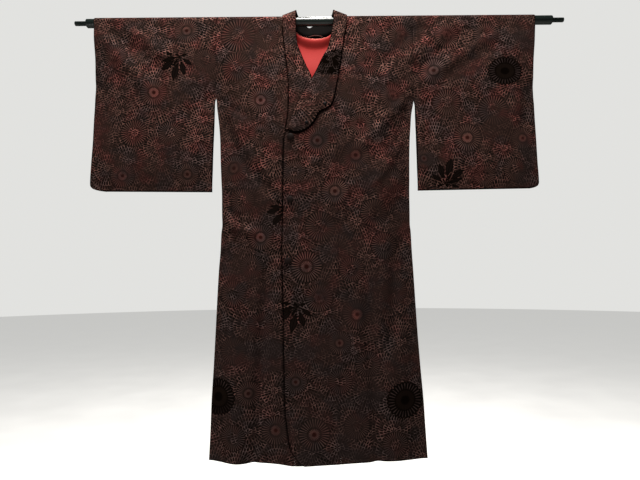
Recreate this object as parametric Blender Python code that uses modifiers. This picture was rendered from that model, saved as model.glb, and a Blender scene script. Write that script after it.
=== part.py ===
"""Michiyuki coat hanging on a round rod.

The rod runs along X through the sleeves and the neck, and its middle is the origin. The front of
the coat faces -Y, so the wearer's left is at +X. Every cloth piece is a wall on a grid of points:
its outline comes from a table of widths, its distance from the plane of the side seams comes from
a table of depths, and the largest folds are soft ridges and troughs added to that depth.
All sizes are in metres.
"""
from collections import namedtuple
from math import cos, hypot, pi, sin

import bpy
import numpy as np

# Cloth
CLOTH = 0.0020              # thickness of the outer cloth with its seam allowances
LINING = 0.0010             # thickness of the lining
GAP = 0.0003                # space between pieces that touch
LAYER = CLOTH + GAP         # from the middle of a wall to the middle of one lying on it
SEAM_DEPTH = LAYER / 2      # half distance between front and back where they are sewn together

# Rod
ROD_RADIUS = 0.0125
ROD_LENGTH = 1.340
PIN_RADIUS = 0.0065
PIN_LENGTH = 0.034
ROD_CHAMFER = 0.002
ROD_SIDES = 24

# The coat on the rod
COAT_X = -0.013             # the coat's centre line lies a little to the wearer's right
FOLD_RADIUS = 0.0140        # middle of the cloth where it lies over the rod
ARC = FOLD_RADIUS * pi / 2  # length of cloth from the top of the fold to the rod's own height
HEM_DEPTH = 1.216           # usual height of the hem below the rod's axis
ARMPIT_Z = -0.232
OVERLAP_SEAM_X = 0.060      # seam between a front and its overlap panel
SLEEVE_BOTTOM = -0.495
SLEEVE_EVEN = -0.440        # evenly spaced rows down to here, then those of the rounded corner
SIDE_ROLL = 0.090           # width over which the body swells from a side seam
CUFF_ROLL = 0.055           # the same at the outer edge of a sleeve
FOLD_EASE = 0.008           # depth over which folds fade towards a seam
ROD_EASE = 0.030            # height over which folds fade towards the rod

# Side edges of the body, and inner and outer edges of the sleeves, from the coat's centre line
Side = namedtuple("Side", "z left right")
BODY_SIDE = [
    Side(0.000, 0.2790, 0.2822), Side(-0.222, 0.2790, 0.2822), Side(-0.236, 0.2790, 0.2800),
    Side(-0.250, 0.2767, 0.2792), Side(-0.280, 0.2712, 0.2755), Side(-0.316, 0.2682, 0.2715),
    Side(-0.350, 0.2655, 0.2692), Side(-0.404, 0.2632, 0.2676), Side(-0.461, 0.2620, 0.2650),
    Side(-0.503, 0.2608, 0.2629), Side(-0.560, 0.2604, 0.2621), Side(-0.587, 0.2600, 0.2610),
    Side(-0.612, 0.2622, 0.2635), Side(-0.660, 0.2638, 0.2654), Side(-0.715, 0.2665, 0.2695),
    Side(-0.875, 0.2738, 0.2766), Side(-0.970, 0.2794, 0.2808), Side(-1.065, 0.2860, 0.2857),
    Side(-1.130, 0.2890, 0.2876), Side(-1.230, 0.2940, 0.2917),
]
Cuff = namedtuple("Cuff", "z inner_left inner_right outer_left outer_right")
SLEEVE_SIDE = [
    Cuff(0.000, 0.2790, 0.2822, 0.6296, 0.6310), Cuff(-0.065, 0.2790, 0.2822, 0.6255, 0.6276),
    Cuff(-0.140, 0.2790, 0.2822, 0.6196, 0.6239), Cuff(-0.180, 0.2790, 0.2822, 0.6190, 0.6238),
    Cuff(-0.222, 0.2790, 0.2822, 0.6191, 0.6254), Cuff(-0.236, 0.2794, 0.2848, 0.6195, 0.6257),
    Cuff(-0.250, 0.2822, 0.2857, 0.6203, 0.6259), Cuff(-0.280, 0.2830, 0.2866, 0.6205, 0.6270),
    Cuff(-0.350, 0.2848, 0.2888, 0.6220, 0.6284), Cuff(-0.415, 0.2850, 0.2904, 0.6230, 0.6314),
    Cuff(-0.465, 0.2852, 0.2908, 0.6245, 0.6327), Cuff(-0.476, 0.2850, 0.2906, 0.6245, 0.6322),
    Cuff(-0.486, 0.2848, 0.2904, 0.6215, 0.6255), Cuff(-0.492, 0.2846, 0.2902, 0.6130, 0.6100),
    Cuff(-0.495, 0.2845, 0.2902, 0.6000, 0.5900),
]

# Depth of the cloth in front of, and behind, the plane of the side seams
Swell = namedtuple("Swell", "z middle")
BODY_DEPTH = [
    Swell(0.000, 0.0140), Swell(-0.012, 0.0140), Swell(-0.060, 0.0155), Swell(-0.120, 0.0175),
    Swell(-0.232, 0.0210), Swell(-0.350, 0.0240), Swell(-0.500, 0.0240), Swell(-0.587, 0.0210),
    Swell(-0.700, 0.0230), Swell(-0.900, 0.0250), Swell(-1.100, 0.0280), Swell(-1.230, 0.0300),
]
Tube = namedtuple("Tube", "z inner middle outer")
SLEEVE_DEPTH = [
    Tube(0.000, 0.01400, 0.0140, 0.01400), Tube(-0.012, 0.01400, 0.0140, 0.01400),
    Tube(-0.060, 0.01300, 0.0150, 0.01380), Tube(-0.120, 0.01050, 0.0155, 0.01250),
    Tube(-0.170, 0.00750, 0.0145, 0.00800), Tube(-0.205, 0.00440, 0.0135, SEAM_DEPTH),
    Tube(-0.225, 0.00200, 0.0130, SEAM_DEPTH), Tube(-0.232, SEAM_DEPTH, 0.0130, SEAM_DEPTH),
    Tube(-0.260, 0.00350, 0.0120, SEAM_DEPTH), Tube(-0.330, 0.00700, 0.0110, SEAM_DEPTH),
    Tube(-0.420, 0.00600, 0.0085, SEAM_DEPTH), Tube(-0.470, 0.00280, 0.0035, SEAM_DEPTH),
    Tube(-0.486, SEAM_DEPTH, SEAM_DEPTH, SEAM_DEPTH),
    Tube(SLEEVE_BOTTOM, SEAM_DEPTH, SEAM_DEPTH, SEAM_DEPTH),
]

# How far the over front stands in front of the under front, where the two lie on each other
Lift = namedtuple("Lift", "z lift")
OVER_LIFT = [
    Lift(0.000, 0.0000), Lift(-0.050, 0.0000), Lift(-0.160, 0.0048), Lift(-0.200, 0.0054),
    Lift(-0.340, 0.0054), Lift(-0.420, 0.0036), Lift(-1.250, 0.0036),
]
LIFT_START, LIFT_END = 0.175, 0.093     # the lift grows between these distances from the centre

Hem = namedtuple("Hem", "x z")
HEM = [
    Hem(-0.292, -1.2185), Hem(-0.260, -1.2200), Hem(-0.210, -1.2192), Hem(-0.150, -1.2168),
    Hem(-0.100, -1.2205), Hem(-0.064, -1.2250), Hem(-0.025, -1.2245), Hem(0.043, -1.2222),
    Hem(0.095, -1.2190), Hem(0.150, -1.2165), Hem(0.205, -1.2140), Hem(0.260, -1.2170),
    Hem(0.294, -1.2185),
]

# Necklines of the panels, under the collar
Neck = namedtuple("Neck", "z left right")
FRONT_NECK = [
    Neck(0.000, 0.0830, 0.0830), Neck(-0.057, 0.0745, 0.0810), Neck(-0.107, 0.0670, 0.0750),
    Neck(-0.150, 0.0602, 0.0695), Neck(-0.205, 0.0602, 0.0665), Neck(-0.249, 0.0602, 0.0655),
    Neck(-0.275, 0.0602, 0.0630), Neck(-0.290, 0.0602, 0.0602), Neck(-1.230, 0.0602, 0.0602),
]
BackNeck = namedtuple("BackNeck", "along x")     # along is the length of cloth from the shoulder
BACK_NECK = [
    BackNeck(0.0000, 0.0830), BackNeck(0.0160, 0.0770), BackNeck(0.0320, 0.0660),
    BackNeck(0.0460, 0.0500), BackNeck(0.0560, 0.0350), BackNeck(0.0610, 0.0190),
    BackNeck(0.0630, 0.0002), BackNeck(1.3000, 0.0002),
]

# Overlap panels: the free edge, and the top edge that the collar hides
Edge = namedtuple("Edge", "z x")
OVERLAP_EDGE = [
    Edge(-0.3155, -0.070), Edge(-0.326, -0.077), Edge(-0.338, -0.0835), Edge(-0.352, -0.087),
    Edge(-0.465, -0.090), Edge(-0.563, -0.091), Edge(-0.646, -0.093), Edge(-0.798, -0.090),
    Edge(-0.945, -0.088), Edge(-1.066, -0.085), Edge(-1.139, -0.078), Edge(-1.177, -0.071),
    Edge(-1.206, -0.054), Edge(-1.222, -0.035),
]
# rows of an overlap panel, as parts of its height: close at its shaped upper and lower corners
OVERLAP_ROWS = (0.0, 0.0116, 0.026, 0.041, 0.074, 0.107, 0.14, 0.173, 0.206, 0.24, 0.275, 0.31, 0.36,
                0.42, 0.48, 0.54, 0.60, 0.66, 0.72, 0.78, 0.84, 0.909, 0.950, 0.982, 1.0)
Top = namedtuple("Top", "x over under")
OVERLAP_TOP = [
    Top(-0.093, -0.3160, -0.3030), Top(-0.070, -0.3155, -0.3030), Top(-0.055, -0.3200, -0.3030),
    Top(-0.036, -0.3150, -0.3030), Top(-0.020, -0.3020, -0.3030), Top(-0.006, -0.2850, -0.3020),
    Top(0.006, -0.2680, -0.3010), Top(0.020, -0.2600, -0.2990), Top(0.036, -0.2500, -0.2960),
    Top(0.045, -0.2350, -0.2940), Top(0.051, -0.2050, -0.2920), Top(0.055, -0.1800, -0.2910),
    Top(0.060, -0.1520, -0.2900),
]

# Collar: outer edge on the coat and inner edge round the neck
# From the back to the front of the shoulder, with the outer edge as a length along the cloth
Turn = namedtuple("Turn", "x_out along x_in y_in z_in")
COLLAR_TURN = [
    Turn(0.0000, 0.0710, 0.0000, 0.0430, 0.0125), Turn(0.0180, 0.0698, 0.0110, 0.0428, 0.0125),
    Turn(0.0360, 0.0655, 0.0220, 0.0418, 0.0130), Turn(0.0560, 0.0520, 0.0340, 0.0370, 0.0155),
    Turn(0.0730, 0.0370, 0.0450, 0.0280, 0.0230), Turn(0.0805, 0.0280, 0.0485, 0.0220, 0.0290),
    Turn(0.0860, 0.0190, 0.0510, 0.0150, 0.0325), Turn(0.0895, 0.0095, 0.0525, 0.0080, 0.0348),
    Turn(0.0915, 0.0000, 0.0530, 0.0010, 0.0350), Turn(0.0920, -0.0080, 0.0533, -0.0065, 0.0315),
    Turn(0.0922, -0.0160, 0.0535, -0.0125, 0.0240), Turn(0.0920, -0.0270, 0.0535, -0.0167, 0.0090),
]
SHOULDER_ROW = 8            # row of COLLAR_TURN at the top of the shoulder
COLLAR_SAG = 0.0090         # the inner edge sags behind the neck, a little to the wearer's right
SAG_X, SAG_WIDTH = -0.017, 0.011
# Down the two fronts, both edges as places on the front
Band = namedtuple("Band", "x_out z_out x_in z_in")
COLLAR_LEFT = [
    Band(0.0900, -0.022, 0.0520, -0.014), Band(0.0830, -0.055, 0.0460, -0.050),
    Band(0.0775, -0.090, 0.0360, -0.088), Band(0.0735, -0.120, 0.0190, -0.120),
    Band(0.0685, -0.150, 0.0050, -0.151), Band(0.0630, -0.180, -0.0090, -0.178),
    Band(0.0580, -0.205, -0.0210, -0.199), Band(0.0530, -0.232, -0.0320, -0.218),
    Band(0.0460, -0.252, -0.0410, -0.234), Band(0.0310, -0.266, -0.0480, -0.247),
    Band(0.0140, -0.2735, -0.0530, -0.257), Band(0.0075, -0.281, -0.0560, -0.263),
    Band(0.0000, -0.296, -0.0600, -0.272), Band(-0.0140, -0.314, -0.0650, -0.285),
    Band(-0.0330, -0.328, -0.0690, -0.297), Band(-0.0550, -0.333, -0.0730, -0.309),
    Band(-0.0730, -0.328, -0.0760, -0.318),
]
COLLAR_RIGHT = [
    Band(-0.0920, -0.022, -0.0540, -0.014), Band(-0.0890, -0.056, -0.0530, -0.045),
    Band(-0.0860, -0.082, -0.0500, -0.072), Band(-0.0830, -0.107, -0.0380, -0.107),
    Band(-0.0790, -0.140, -0.0240, -0.141), Band(-0.0760, -0.172, -0.0100, -0.173),
    Band(-0.0745, -0.205, -0.0050, -0.205), Band(-0.0750, -0.249, -0.0060, -0.247),
    Band(-0.0775, -0.289, -0.0090, -0.285), Band(-0.0840, -0.326, -0.0140, -0.318),
]
COLLAR_LIFT = 0.0026        # from the middle of a panel to the middle of the collar on it
TURN_LIFT = 0.0032          # the same where the collar turns over the rod
COLLAR_PUFF = 0.0025        # how far the band swells between its edges
COLLAR_ACROSS = (0.0, 0.12, 0.38, 0.68, 1.0)
PUFF_START = 0.100          # height over which the swell grows down from the rod
PUFF_END = 0.060            # and over which it fades again
LEFT_FLAT, RIGHT_FLAT = -1.0, -0.22     # height at which the swell of each front's band has faded
BAND_JOIN = 0.08            # a front band starts this part of a step after the one behind the neck

# Largest folds: a line on the cloth, the half width of the fold and its height, outwards if positive
Fold = namedtuple("Fold", "x0 z0 x1 z1 half_width height")
FRONT_FOLDS = [
    # wearer's left sleeve and shoulder, drawn up from the armpit to the rod
    Fold(0.291, -0.195, 0.516, -0.045, 0.020, 0.0045), Fold(0.353, -0.178, 0.540, -0.068, 0.026, -0.0020),
    Fold(0.297, -0.143, 0.454, -0.023, 0.018, -0.0030), Fold(0.252, -0.130, 0.397, -0.014, 0.020, 0.0035),
    Fold(0.315, -0.012, 0.165, -0.155, 0.022, -0.0040), Fold(0.436, -0.199, 0.583, -0.054, 0.030, 0.0030),
    Fold(0.600, -0.270, 0.510, -0.440, 0.030, -0.0020),
    # wearer's left front, drawn down from the armpit to the buttons
    Fold(0.270, -0.222, 0.110, -0.388, 0.020, 0.0050), Fold(0.105, -0.350, -0.035, -0.440, 0.022, 0.0035),
    Fold(0.262, -0.328, 0.150, -0.500, 0.020, 0.0045), Fold(0.182, -0.412, -0.011, -0.594, 0.022, 0.0030),
    Fold(0.254, -0.426, 0.107, -0.612, 0.024, 0.0035),
    # wearer's right front
    Fold(-0.250, -0.262, -0.185, -0.385, 0.018, 0.0035), Fold(-0.185, -0.385, -0.118, -0.470, 0.018, 0.0030),
    Fold(-0.262, -0.276, -0.207, -0.408, 0.016, -0.0030),
    Fold(-0.207, -0.408, -0.130, -0.505, 0.018, -0.0035),
    Fold(-0.262, -0.520, -0.215, -0.590, 0.018, -0.0035),
    Fold(-0.268, -0.590, -0.180, -0.622, 0.018, 0.0040),
    # wearer's right sleeve
    Fold(-0.595, -0.020, -0.410, -0.170, 0.022, -0.0040),
    Fold(-0.618, -0.040, -0.470, -0.205, 0.022, 0.0050),
    Fold(-0.530, -0.025, -0.410, -0.115, 0.018, 0.0040),
    Fold(-0.602, -0.088, -0.567, -0.320, 0.035, -0.0040),
    # crease of a coat that was stored folded at the waist
    Fold(-0.258, -0.592, 0.256, -0.585, 0.016, -0.0010),
    # long flutes down to the hem
    Fold(-0.235, -0.760, -0.215, -1.260, 0.030, 0.0060),
    Fold(-0.146, -0.730, -0.180, -1.240, 0.026, -0.0065),
    Fold(-0.060, -0.900, -0.040, -1.260, 0.050, 0.0045), Fold(0.127, -0.800, 0.152, -1.240, 0.026, -0.0050),
    Fold(0.216, -0.670, 0.190, -0.940, 0.024, -0.0045), Fold(0.190, -0.960, 0.200, -1.260, 0.032, 0.0040),
]
BACK_FOLDS = [
    Fold(0.285, -0.200, 0.480, -0.030, 0.024, 0.0050), Fold(0.330, -0.190, 0.560, -0.060, 0.026, -0.0030),
    Fold(-0.285, -0.200, -0.500, -0.028, 0.024, 0.0045),
    Fold(-0.340, -0.170, -0.540, -0.050, 0.026, -0.0030),
    Fold(0.262, -0.250, 0.110, -0.430, 0.026, 0.0050), Fold(0.240, -0.330, 0.060, -0.520, 0.026, -0.0035),
    Fold(-0.262, -0.260, -0.130, -0.440, 0.026, 0.0045),
    Fold(-0.230, -0.380, -0.070, -0.540, 0.026, -0.0035),
    Fold(-0.256, -0.588, 0.256, -0.590, 0.018, -0.0020),
    Fold(-0.190, -0.780, -0.200, -1.260, 0.034, -0.0060),
    Fold(-0.090, -0.850, -0.100, -1.260, 0.036, 0.0060),
    Fold(0.080, -0.820, 0.090, -1.260, 0.036, -0.0060), Fold(0.180, -0.800, 0.190, -1.260, 0.036, 0.0055),
]

FOLD_FADE = 0.30            # part of a fold's length over which it fades at each end

# Grid of each panel
ARC_STEPS = (0.06, 0.20, 0.45, 0.72)    # rows on the rod, as parts of ARC
FOLD_TOP = 0.00025          # length of cloth between the top of the fold and a panel's first row
NECK_STEPS = (0.032, 0.046, 0.056, 0.063)   # rows along the back neckline
FINE_END = 0.620            # length of cloth from the shoulder that holds the drawn folds
SIDE_STEPS = (0.004, 0.028)                 # columns close to a side seam
FRONT_ROWS, FRONT_LOW_ROWS, FRONT_COLUMNS = 0.029, 0.062, 0.029     # spacing on the fronts
BACK_ROWS, BACK_LOW_ROWS, BACK_COLUMNS = 0.052, 0.080, 0.038        # and on the backs
SLEEVE_FRONT_CELL, SLEEVE_BACK_CELL = 0.031, 0.055
SLEEVE_RISE = 0.004         # the bottom of a sleeve rises this much towards its outer edge
OVERLAP_COLUMNS = 7
LINING_ROWS, LINING_COLUMNS = 7, 13

# Small pieces
BUTTON_RADIUS = 0.0095
BUTTON_HEIGHT = 0.0060
BUTTON_SIDES = 16
DOME_ROWS = 4
DOME_BASE = 0.88            # the foot of a button or stud, as a part of its radius
DOME_WALL = 0.35            # and the height of its edge, as a part of its height
BUTTONS = [(-0.069, -0.347), (-0.071, -0.522), (-0.078, -0.690)]
STUD_RADIUS = 0.0045
STUD_HEIGHT = 0.0018
Stud = namedtuple("Stud", "x z swell")      # swell is how far the collar swells out at that place
STUDS = [Stud(0.027, -0.254, 0.0013), Stud(-0.025, -0.308, 0.0023)]
LOOP_RADIUS = 0.00125
LOOP_X = (-0.0235, 0.0297)  # the two roots of the hanging loop on the neck seam
LOOP_RISE = 0.0080
LOOP_ROUND = 0.8            # a power of the sine: below 1 the loop is fuller than a sine arch
LOOP_Y, LOOP_Z = 0.0179, -0.0395
LOOP_SIDES = 2              # steps of a quarter of the cord's round section
LOOP_POINTS = 9
LINING_HALF_WIDTH = 0.115
LINING_BOTTOM = 0.340       # length of cloth from the shoulder fold to the lining's lower edge
LINING_CLEAR = 0.0095       # the lining starts this far below the height of the rod's axis
LINING_DROP = 0.0035        # and its upper edge lies this far below the neckline

MATERIALS = {
    "cloth": ((0.150, 0.075, 0.070), 0.55, 0.0),
    "lining": ((0.640, 0.085, 0.070), 0.50, 0.0),
    "rod": ((0.030, 0.045, 0.042), 0.25, 0.3),
    "button": ((0.060, 0.040, 0.036), 0.50, 0.0),
    "cord": ((0.450, 0.180, 0.160), 0.60, 0.0),
}


def smooth(t):
    """A soft step from 0 at t = 0 to 1 at t = 1."""
    t = np.clip(t, 0.0, 1.0)
    return t * t * (3.0 - 2.0 * t)


def read(rows, key, name, at):
    """Read column `name` of a table at the places `at` of column `key`, on a curve through the
    rows that never overshoots them, and level past its two ends."""
    x = np.array([getattr(row, key) for row in rows])
    y = np.array([getattr(row, name) for row in rows])
    order = np.argsort(x)
    x, y = x[order], y[order]
    width = np.diff(x)
    slope = np.diff(y) / width
    before, after = slope[:-1], slope[1:]
    both = before * after
    tangent = np.zeros_like(y)
    total = np.where(both > 0, before + after, 1.0)
    tangent[1:-1] = np.where(both > 0, 2 * both / total, 0.0)
    tangent[0], tangent[-1] = slope[0], slope[-1]
    at = np.asarray(at, dtype=float)
    i = np.clip(np.searchsorted(x, at) - 1, 0, len(x) - 2)
    h = width[i]
    t = np.clip((at - x[i]) / h, 0.0, 1.0)
    return (y[i] * (1 + 2 * t) * (1 - t) ** 2 + y[i + 1] * t * t * (3 - 2 * t)
            + h * tangent[i] * t * (1 - t) ** 2 - h * tangent[i + 1] * t * t * (1 - t))


def fold_height(rows, x, z):
    """Sum of the folds at (x, z): each is a bell across its line that fades at both ends."""
    total = np.zeros(np.broadcast(x, z).shape)
    for fold in rows:
        dx, dz = fold.x1 - fold.x0, fold.z1 - fold.z0
        length = hypot(dx, dz)
        along = ((x - fold.x0) * dx + (z - fold.z0) * dz) / length ** 2
        across = ((x - fold.x0) * dz - (z - fold.z0) * dx) / length
        fade = smooth(0.5 + along / FOLD_FADE) * smooth(0.5 + (1 - along) / FOLD_FADE)
        total += fold.height * fade * np.exp(-(across / fold.half_width) ** 2)
    return total


def half_width(x, z):
    """Half width of the body at height z, on the side that x lies on."""
    return np.where(x > 0, read(BODY_SIDE, "z", "left", z), read(BODY_SIDE, "z", "right", z))


def sleeve_edge(name, x, z):
    """Inner or outer edge, at height z, of the sleeve on the side that x lies on."""
    return np.where(x > 0, read(SLEEVE_SIDE, "z", f"{name}_left", z),
                    read(SLEEVE_SIDE, "z", f"{name}_right", z))


def body_depth(x, z):
    """Smooth depth of the body: it swells from the side seam, or from the armhole, to the middle."""
    middle = read(BODY_DEPTH, "z", "middle", z)
    edge = np.where(z > ARMPIT_Z, read(SLEEVE_DEPTH, "z", "inner", z), SEAM_DEPTH)
    inside = half_width(x, z) - np.abs(x)
    return edge + (middle - edge) * smooth(inside / SIDE_ROLL)


def sleeve_depth(x, z):
    """Smooth depth of a sleeve between its armhole edge and its cuff edge."""
    middle = read(SLEEVE_DEPTH, "z", "middle", z)
    inner = read(SLEEVE_DEPTH, "z", "inner", z)
    outer = read(SLEEVE_DEPTH, "z", "outer", z)
    from_inner = (np.abs(x) - sleeve_edge("inner", x, z)) / SIDE_ROLL
    from_outer = (sleeve_edge("outer", x, z) - np.abs(x)) / CUFF_ROLL
    return (middle - (middle - inner) * (1 - smooth(from_inner))
            - (middle - outer) * (1 - smooth(from_outer)))


def folded(depth, rows, x, z):
    """Depth with its folds, which fade at seams and close to the rod."""
    ease = smooth((depth - SEAM_DEPTH) / FOLD_EASE) * smooth(-z / ROD_EASE)
    return depth + ease * fold_height(rows, x, z)


def lift(x, z):
    """Extra depth of the over front where it lies on the under front."""
    side = smooth((LIFT_START - x) / (LIFT_START - LIFT_END))
    return side * read(OVER_LIFT, "z", "lift", z)


def under_front(x, z):
    return folded(body_depth(x, z), FRONT_FOLDS, x, z)


def over_front(x, z):
    return under_front(x, z) + lift(x, z)


def back(x, z):
    return folded(body_depth(x, z), BACK_FOLDS, x, z)


def sleeve_front(x, z):
    return folded(sleeve_depth(x, z), FRONT_FOLDS, x, z)


def sleeve_back(x, z):
    return folded(sleeve_depth(x, z), BACK_FOLDS, x, z)


def hang(x, along, face, depth, out=0.0):
    """Points of cloth that comes over the rod: `along` is its length from the top of the fold,
    face is -1 in front and 1 behind, and out moves the points off the cloth."""
    angle = np.clip(along / FOLD_RADIUS, 0.0, pi / 2)
    level = ARC - along
    on_rod = along < ARC
    y = np.where(on_rod, (FOLD_RADIUS + out) * np.sin(angle), depth(x, np.minimum(level, 0.0)) + out)
    z = np.where(on_rod, (FOLD_RADIUS + out) * np.cos(angle), level)
    return np.stack([x, face * y, z], axis=-1)


def link(obj):
    bpy.context.collection.objects.unlink(obj)
    coat_pieces.objects.link(obj)


def material(name):
    color, roughness, metallic = MATERIALS[name]
    made = bpy.data.materials.new(name)
    made.use_nodes = True
    shader = made.node_tree.nodes["Principled BSDF"]
    shader.inputs["Base Color"].default_value = (*color, 1.0)
    shader.inputs["Roughness"].default_value = roughness
    shader.inputs["Metallic"].default_value = metallic
    return made


def wall(name, points, thickness=CLOTH, finish="cloth"):
    """A cloth wall: a grid whose vertices take the given points, made solid on both sides."""
    rows, columns = points.shape[:2]
    bpy.ops.mesh.primitive_grid_add(x_subdivisions=columns - 1, y_subdivisions=rows - 1)
    obj = bpy.context.object
    obj.name = obj.data.name = name
    obj.data.vertices.foreach_set("co", points.reshape(-1).astype(np.float32))
    obj.data.shade_smooth()
    obj.data.materials.append(material(finish))
    solid = obj.modifiers.new("thickness", "SOLIDIFY")
    solid.thickness = thickness
    solid.offset = 0.0
    solid.use_quality_normals = True
    obj.parent = coat
    link(obj)
    return obj


def steps(start, fine, coarse, change, end):
    """Places from start to end, at the fine spacing down to `change` and at the coarse one below."""
    first = np.linspace(start, change, int(round((change - start) / fine)) + 1)
    rest = np.linspace(change, end, int(round((end - change) / coarse)) + 1)
    return np.concatenate([first, rest[1:]])


def across(start, end, spacing, close_start=False, close_end=True):
    """Parts from 0 to 1 of the way across a panel, with columns close to a closed or worn edge."""
    width = abs(end - start)
    near = [step / width for step in SIDE_STEPS]
    low = near[-1] if close_start else 0.0
    high = 1 - near[-1] if close_end else 1.0
    middle = np.linspace(low, high, int(round((high - low) * width / spacing)) + 1)
    first = [0.0] + near[:-1] if close_start else []
    last = [1 - step for step in near[-2::-1]] + [1.0] if close_end else []
    return np.concatenate([first, middle, last])


def body_panel(name, side, face, depth, fine, coarse, spacing):
    """Half of the body in front of or behind the wearer, from its middle seam to its side seam.
    side is 1 for the wearer's left and -1 for the right."""
    full = ARC + HEM_DEPTH
    on_rod = [FOLD_TOP] + [part * ARC for part in ARC_STEPS] + [ARC]
    neck = list(NECK_STEPS) if face > 0 else []
    start = neck[-1] if neck else ARC
    down = np.concatenate([on_rod, neck, steps(start, fine, coarse, FINE_END, full)[1:]])[:, None]
    level = ARC - down
    if face < 0:
        inner = read(FRONT_NECK, "z", "left" if side > 0 else "right", level)
    else:
        inner = read(BACK_NECK, "along", "x", down)
    outer = half_width(side, level) - GAP / 2
    x = side * (inner + (outer - inner) * across(0.0, BODY_SIDE[0].left, spacing)[None, :])
    hem = ARC - read(HEM, "x", "z", x)
    stretch = np.clip((down - FINE_END) / (full - FINE_END), 0.0, 1.0)
    return wall(name, hang(x, down + (hem - full) * stretch, face, depth))


def overlap_panel(name, side, depth):
    """Overlap panel from its free edge to the seam with the front; side 1 is the over one."""
    v = np.array(OVERLAP_ROWS)[:, None]
    u = np.linspace(0.0, 1.0, OVERLAP_COLUMNS)[None, :]
    edge_top, edge_bottom = OVERLAP_EDGE[0].z, OVERLAP_EDGE[-1].z
    edge = read(OVERLAP_EDGE, "z", "x", edge_top + (edge_bottom - edge_top) * v)
    x = edge + (OVERLAP_SEAM_X - GAP / 2 - edge) * u
    top = read(OVERLAP_TOP, "x", "over" if side > 0 else "under", x)
    z = top + (read(HEM, "x", "z", side * x) - top) * v
    x = side * x
    return wall(name, np.stack([x, -depth(x, z), z], axis=-1))


def sleeve_panel(name, side, face, depth, spacing):
    """Front or back of a sleeve, from the armhole to the cuff; side 1 is the wearer's left."""
    on_rod = [FOLD_TOP] + [part * ARC for part in ARC_STEPS]
    even = np.linspace(ARC, ARC - SLEEVE_EVEN, int(round(-SLEEVE_EVEN / spacing)) + 1)
    corner = [ARC - row.z for row in SLEEVE_SIDE if row.z < SLEEVE_EVEN - spacing / 2]
    down = np.concatenate([on_rod, even, corner])[:, None]
    level = ARC - down
    inner = sleeve_edge("inner", side, level) + GAP / 2
    outer = sleeve_edge("outer", side, level)
    u = across(0.0, outer.max() - inner.min(), spacing, close_start=True)[None, :]
    x = side * (inner + (outer - inner) * u)
    rise = SLEEVE_RISE * u * smooth((SLEEVE_EVEN - level) / (SLEEVE_EVEN - SLEEVE_BOTTOM))
    return wall(name, hang(x, down - rise, face, depth))


def turn_points(side):
    """The collar from the middle of the back, over one shoulder, to just below the rod in front."""
    column = {name: np.array([getattr(row, name) for row in COLLAR_TURN]) for name in Turn._fields}
    behind = hang(column["x_out"], np.abs(column["along"]), 1, back, TURN_LIFT)
    ahead = hang(column["x_out"], np.abs(column["along"]), -1, under_front, TURN_LIFT)
    outer = np.where(column["along"][:, None] >= 0, behind, ahead)
    sag = COLLAR_SAG * np.exp(-((side * column["x_in"] - SAG_X) / SAG_WIDTH) ** 2)
    inner = np.stack([column["x_in"], column["y_in"], column["z_in"] - sag], axis=-1)
    w = np.array(COLLAR_ACROSS)[None, :, None]
    points = outer[:, None, :] * (1 - w) + inner[:, None, :] * w
    points[..., 0] *= side
    return points


def front_band(rows, depth, flat_from):
    """The collar down one front: it lies on the front, and swells between its edges as far down
    as the height flat_from."""
    column = {name: np.array([getattr(row, name) for row in rows])[:, None] for name in Band._fields}
    w = np.array(COLLAR_ACROSS)[None, :]
    x = column["x_out"] * (1 - w) + column["x_in"] * w
    z = column["z_out"] * (1 - w) + column["z_in"] * w
    puff = COLLAR_PUFF * 4 * w * (1 - w) * smooth(-z / PUFF_START) * smooth((z - flat_from) / PUFF_END)
    y = -(depth(x, z) + COLLAR_LIFT + puff)
    return np.stack([x, y, z], axis=-1)


def collar():
    """Three stretches of one band: behind the neck, and down each front from the shoulder."""
    turns = {side: turn_points(side) for side in (1, -1)}
    back_band = np.concatenate([turns[-1][SHOULDER_ROW:0:-1], turns[1][:SHOULDER_ROW + 1]])
    wall("collar_back", back_band)
    for name, side, rows, depth, flat_from in (
            ("collar_left", 1, COLLAR_LEFT, over_front, LEFT_FLAT),
            ("collar_right", -1, COLLAR_RIGHT, under_front, RIGHT_FLAT)):
        points = np.concatenate([turns[side][SHOULDER_ROW:], front_band(rows, depth, flat_from)])
        points[0] += (points[1] - points[0]) * BAND_JOIN
        wall(name, points)


def turned(name, profile, sides, finish):
    """A solid turned about Z from a profile of (radius, height), from its top down its side."""
    mesh = bpy.data.meshes.new(name)
    edges = [(i, i + 1) for i in range(len(profile) - 1)]
    mesh.from_pydata([(radius, 0.0, height) for radius, height in profile], edges, [])
    obj = bpy.data.objects.new(name, mesh)
    coat_pieces.objects.link(obj)
    screw = obj.modifiers.new("turn", "SCREW")
    screw.axis = "Z"
    screw.steps = screw.render_steps = sides
    screw.use_merge_vertices = True
    screw.merge_threshold = 0.00001
    screw.use_smooth_shade = True
    mesh.materials.append(material(finish))
    return obj


def rod():
    half, chamfer = ROD_LENGTH / 2, ROD_CHAMFER
    end = half + PIN_LENGTH
    profile = [(0.0, end), (PIN_RADIUS - chamfer / 2, end), (PIN_RADIUS, end - chamfer / 2),
               (PIN_RADIUS, half), (ROD_RADIUS - chamfer, half), (ROD_RADIUS, half - chamfer)]
    profile += [(radius, -height) for radius, height in reversed(profile)]
    obj = turned("rod", profile, ROD_SIDES, "rod")
    obj.rotation_euler = (0.0, pi / 2, 0.0)


def dome(radius, height):
    """Profile of a covered button: a low dome over an edge that draws in to a flat foot."""
    angles = [i / DOME_ROWS * pi / 2 for i in range(DOME_ROWS + 1)]
    arc = [(radius * sin(a), height * (DOME_WALL + (1 - DOME_WALL) * cos(a))) for a in angles]
    return arc + [(radius * DOME_BASE, 0.0), (0.0, 0.0)]


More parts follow.
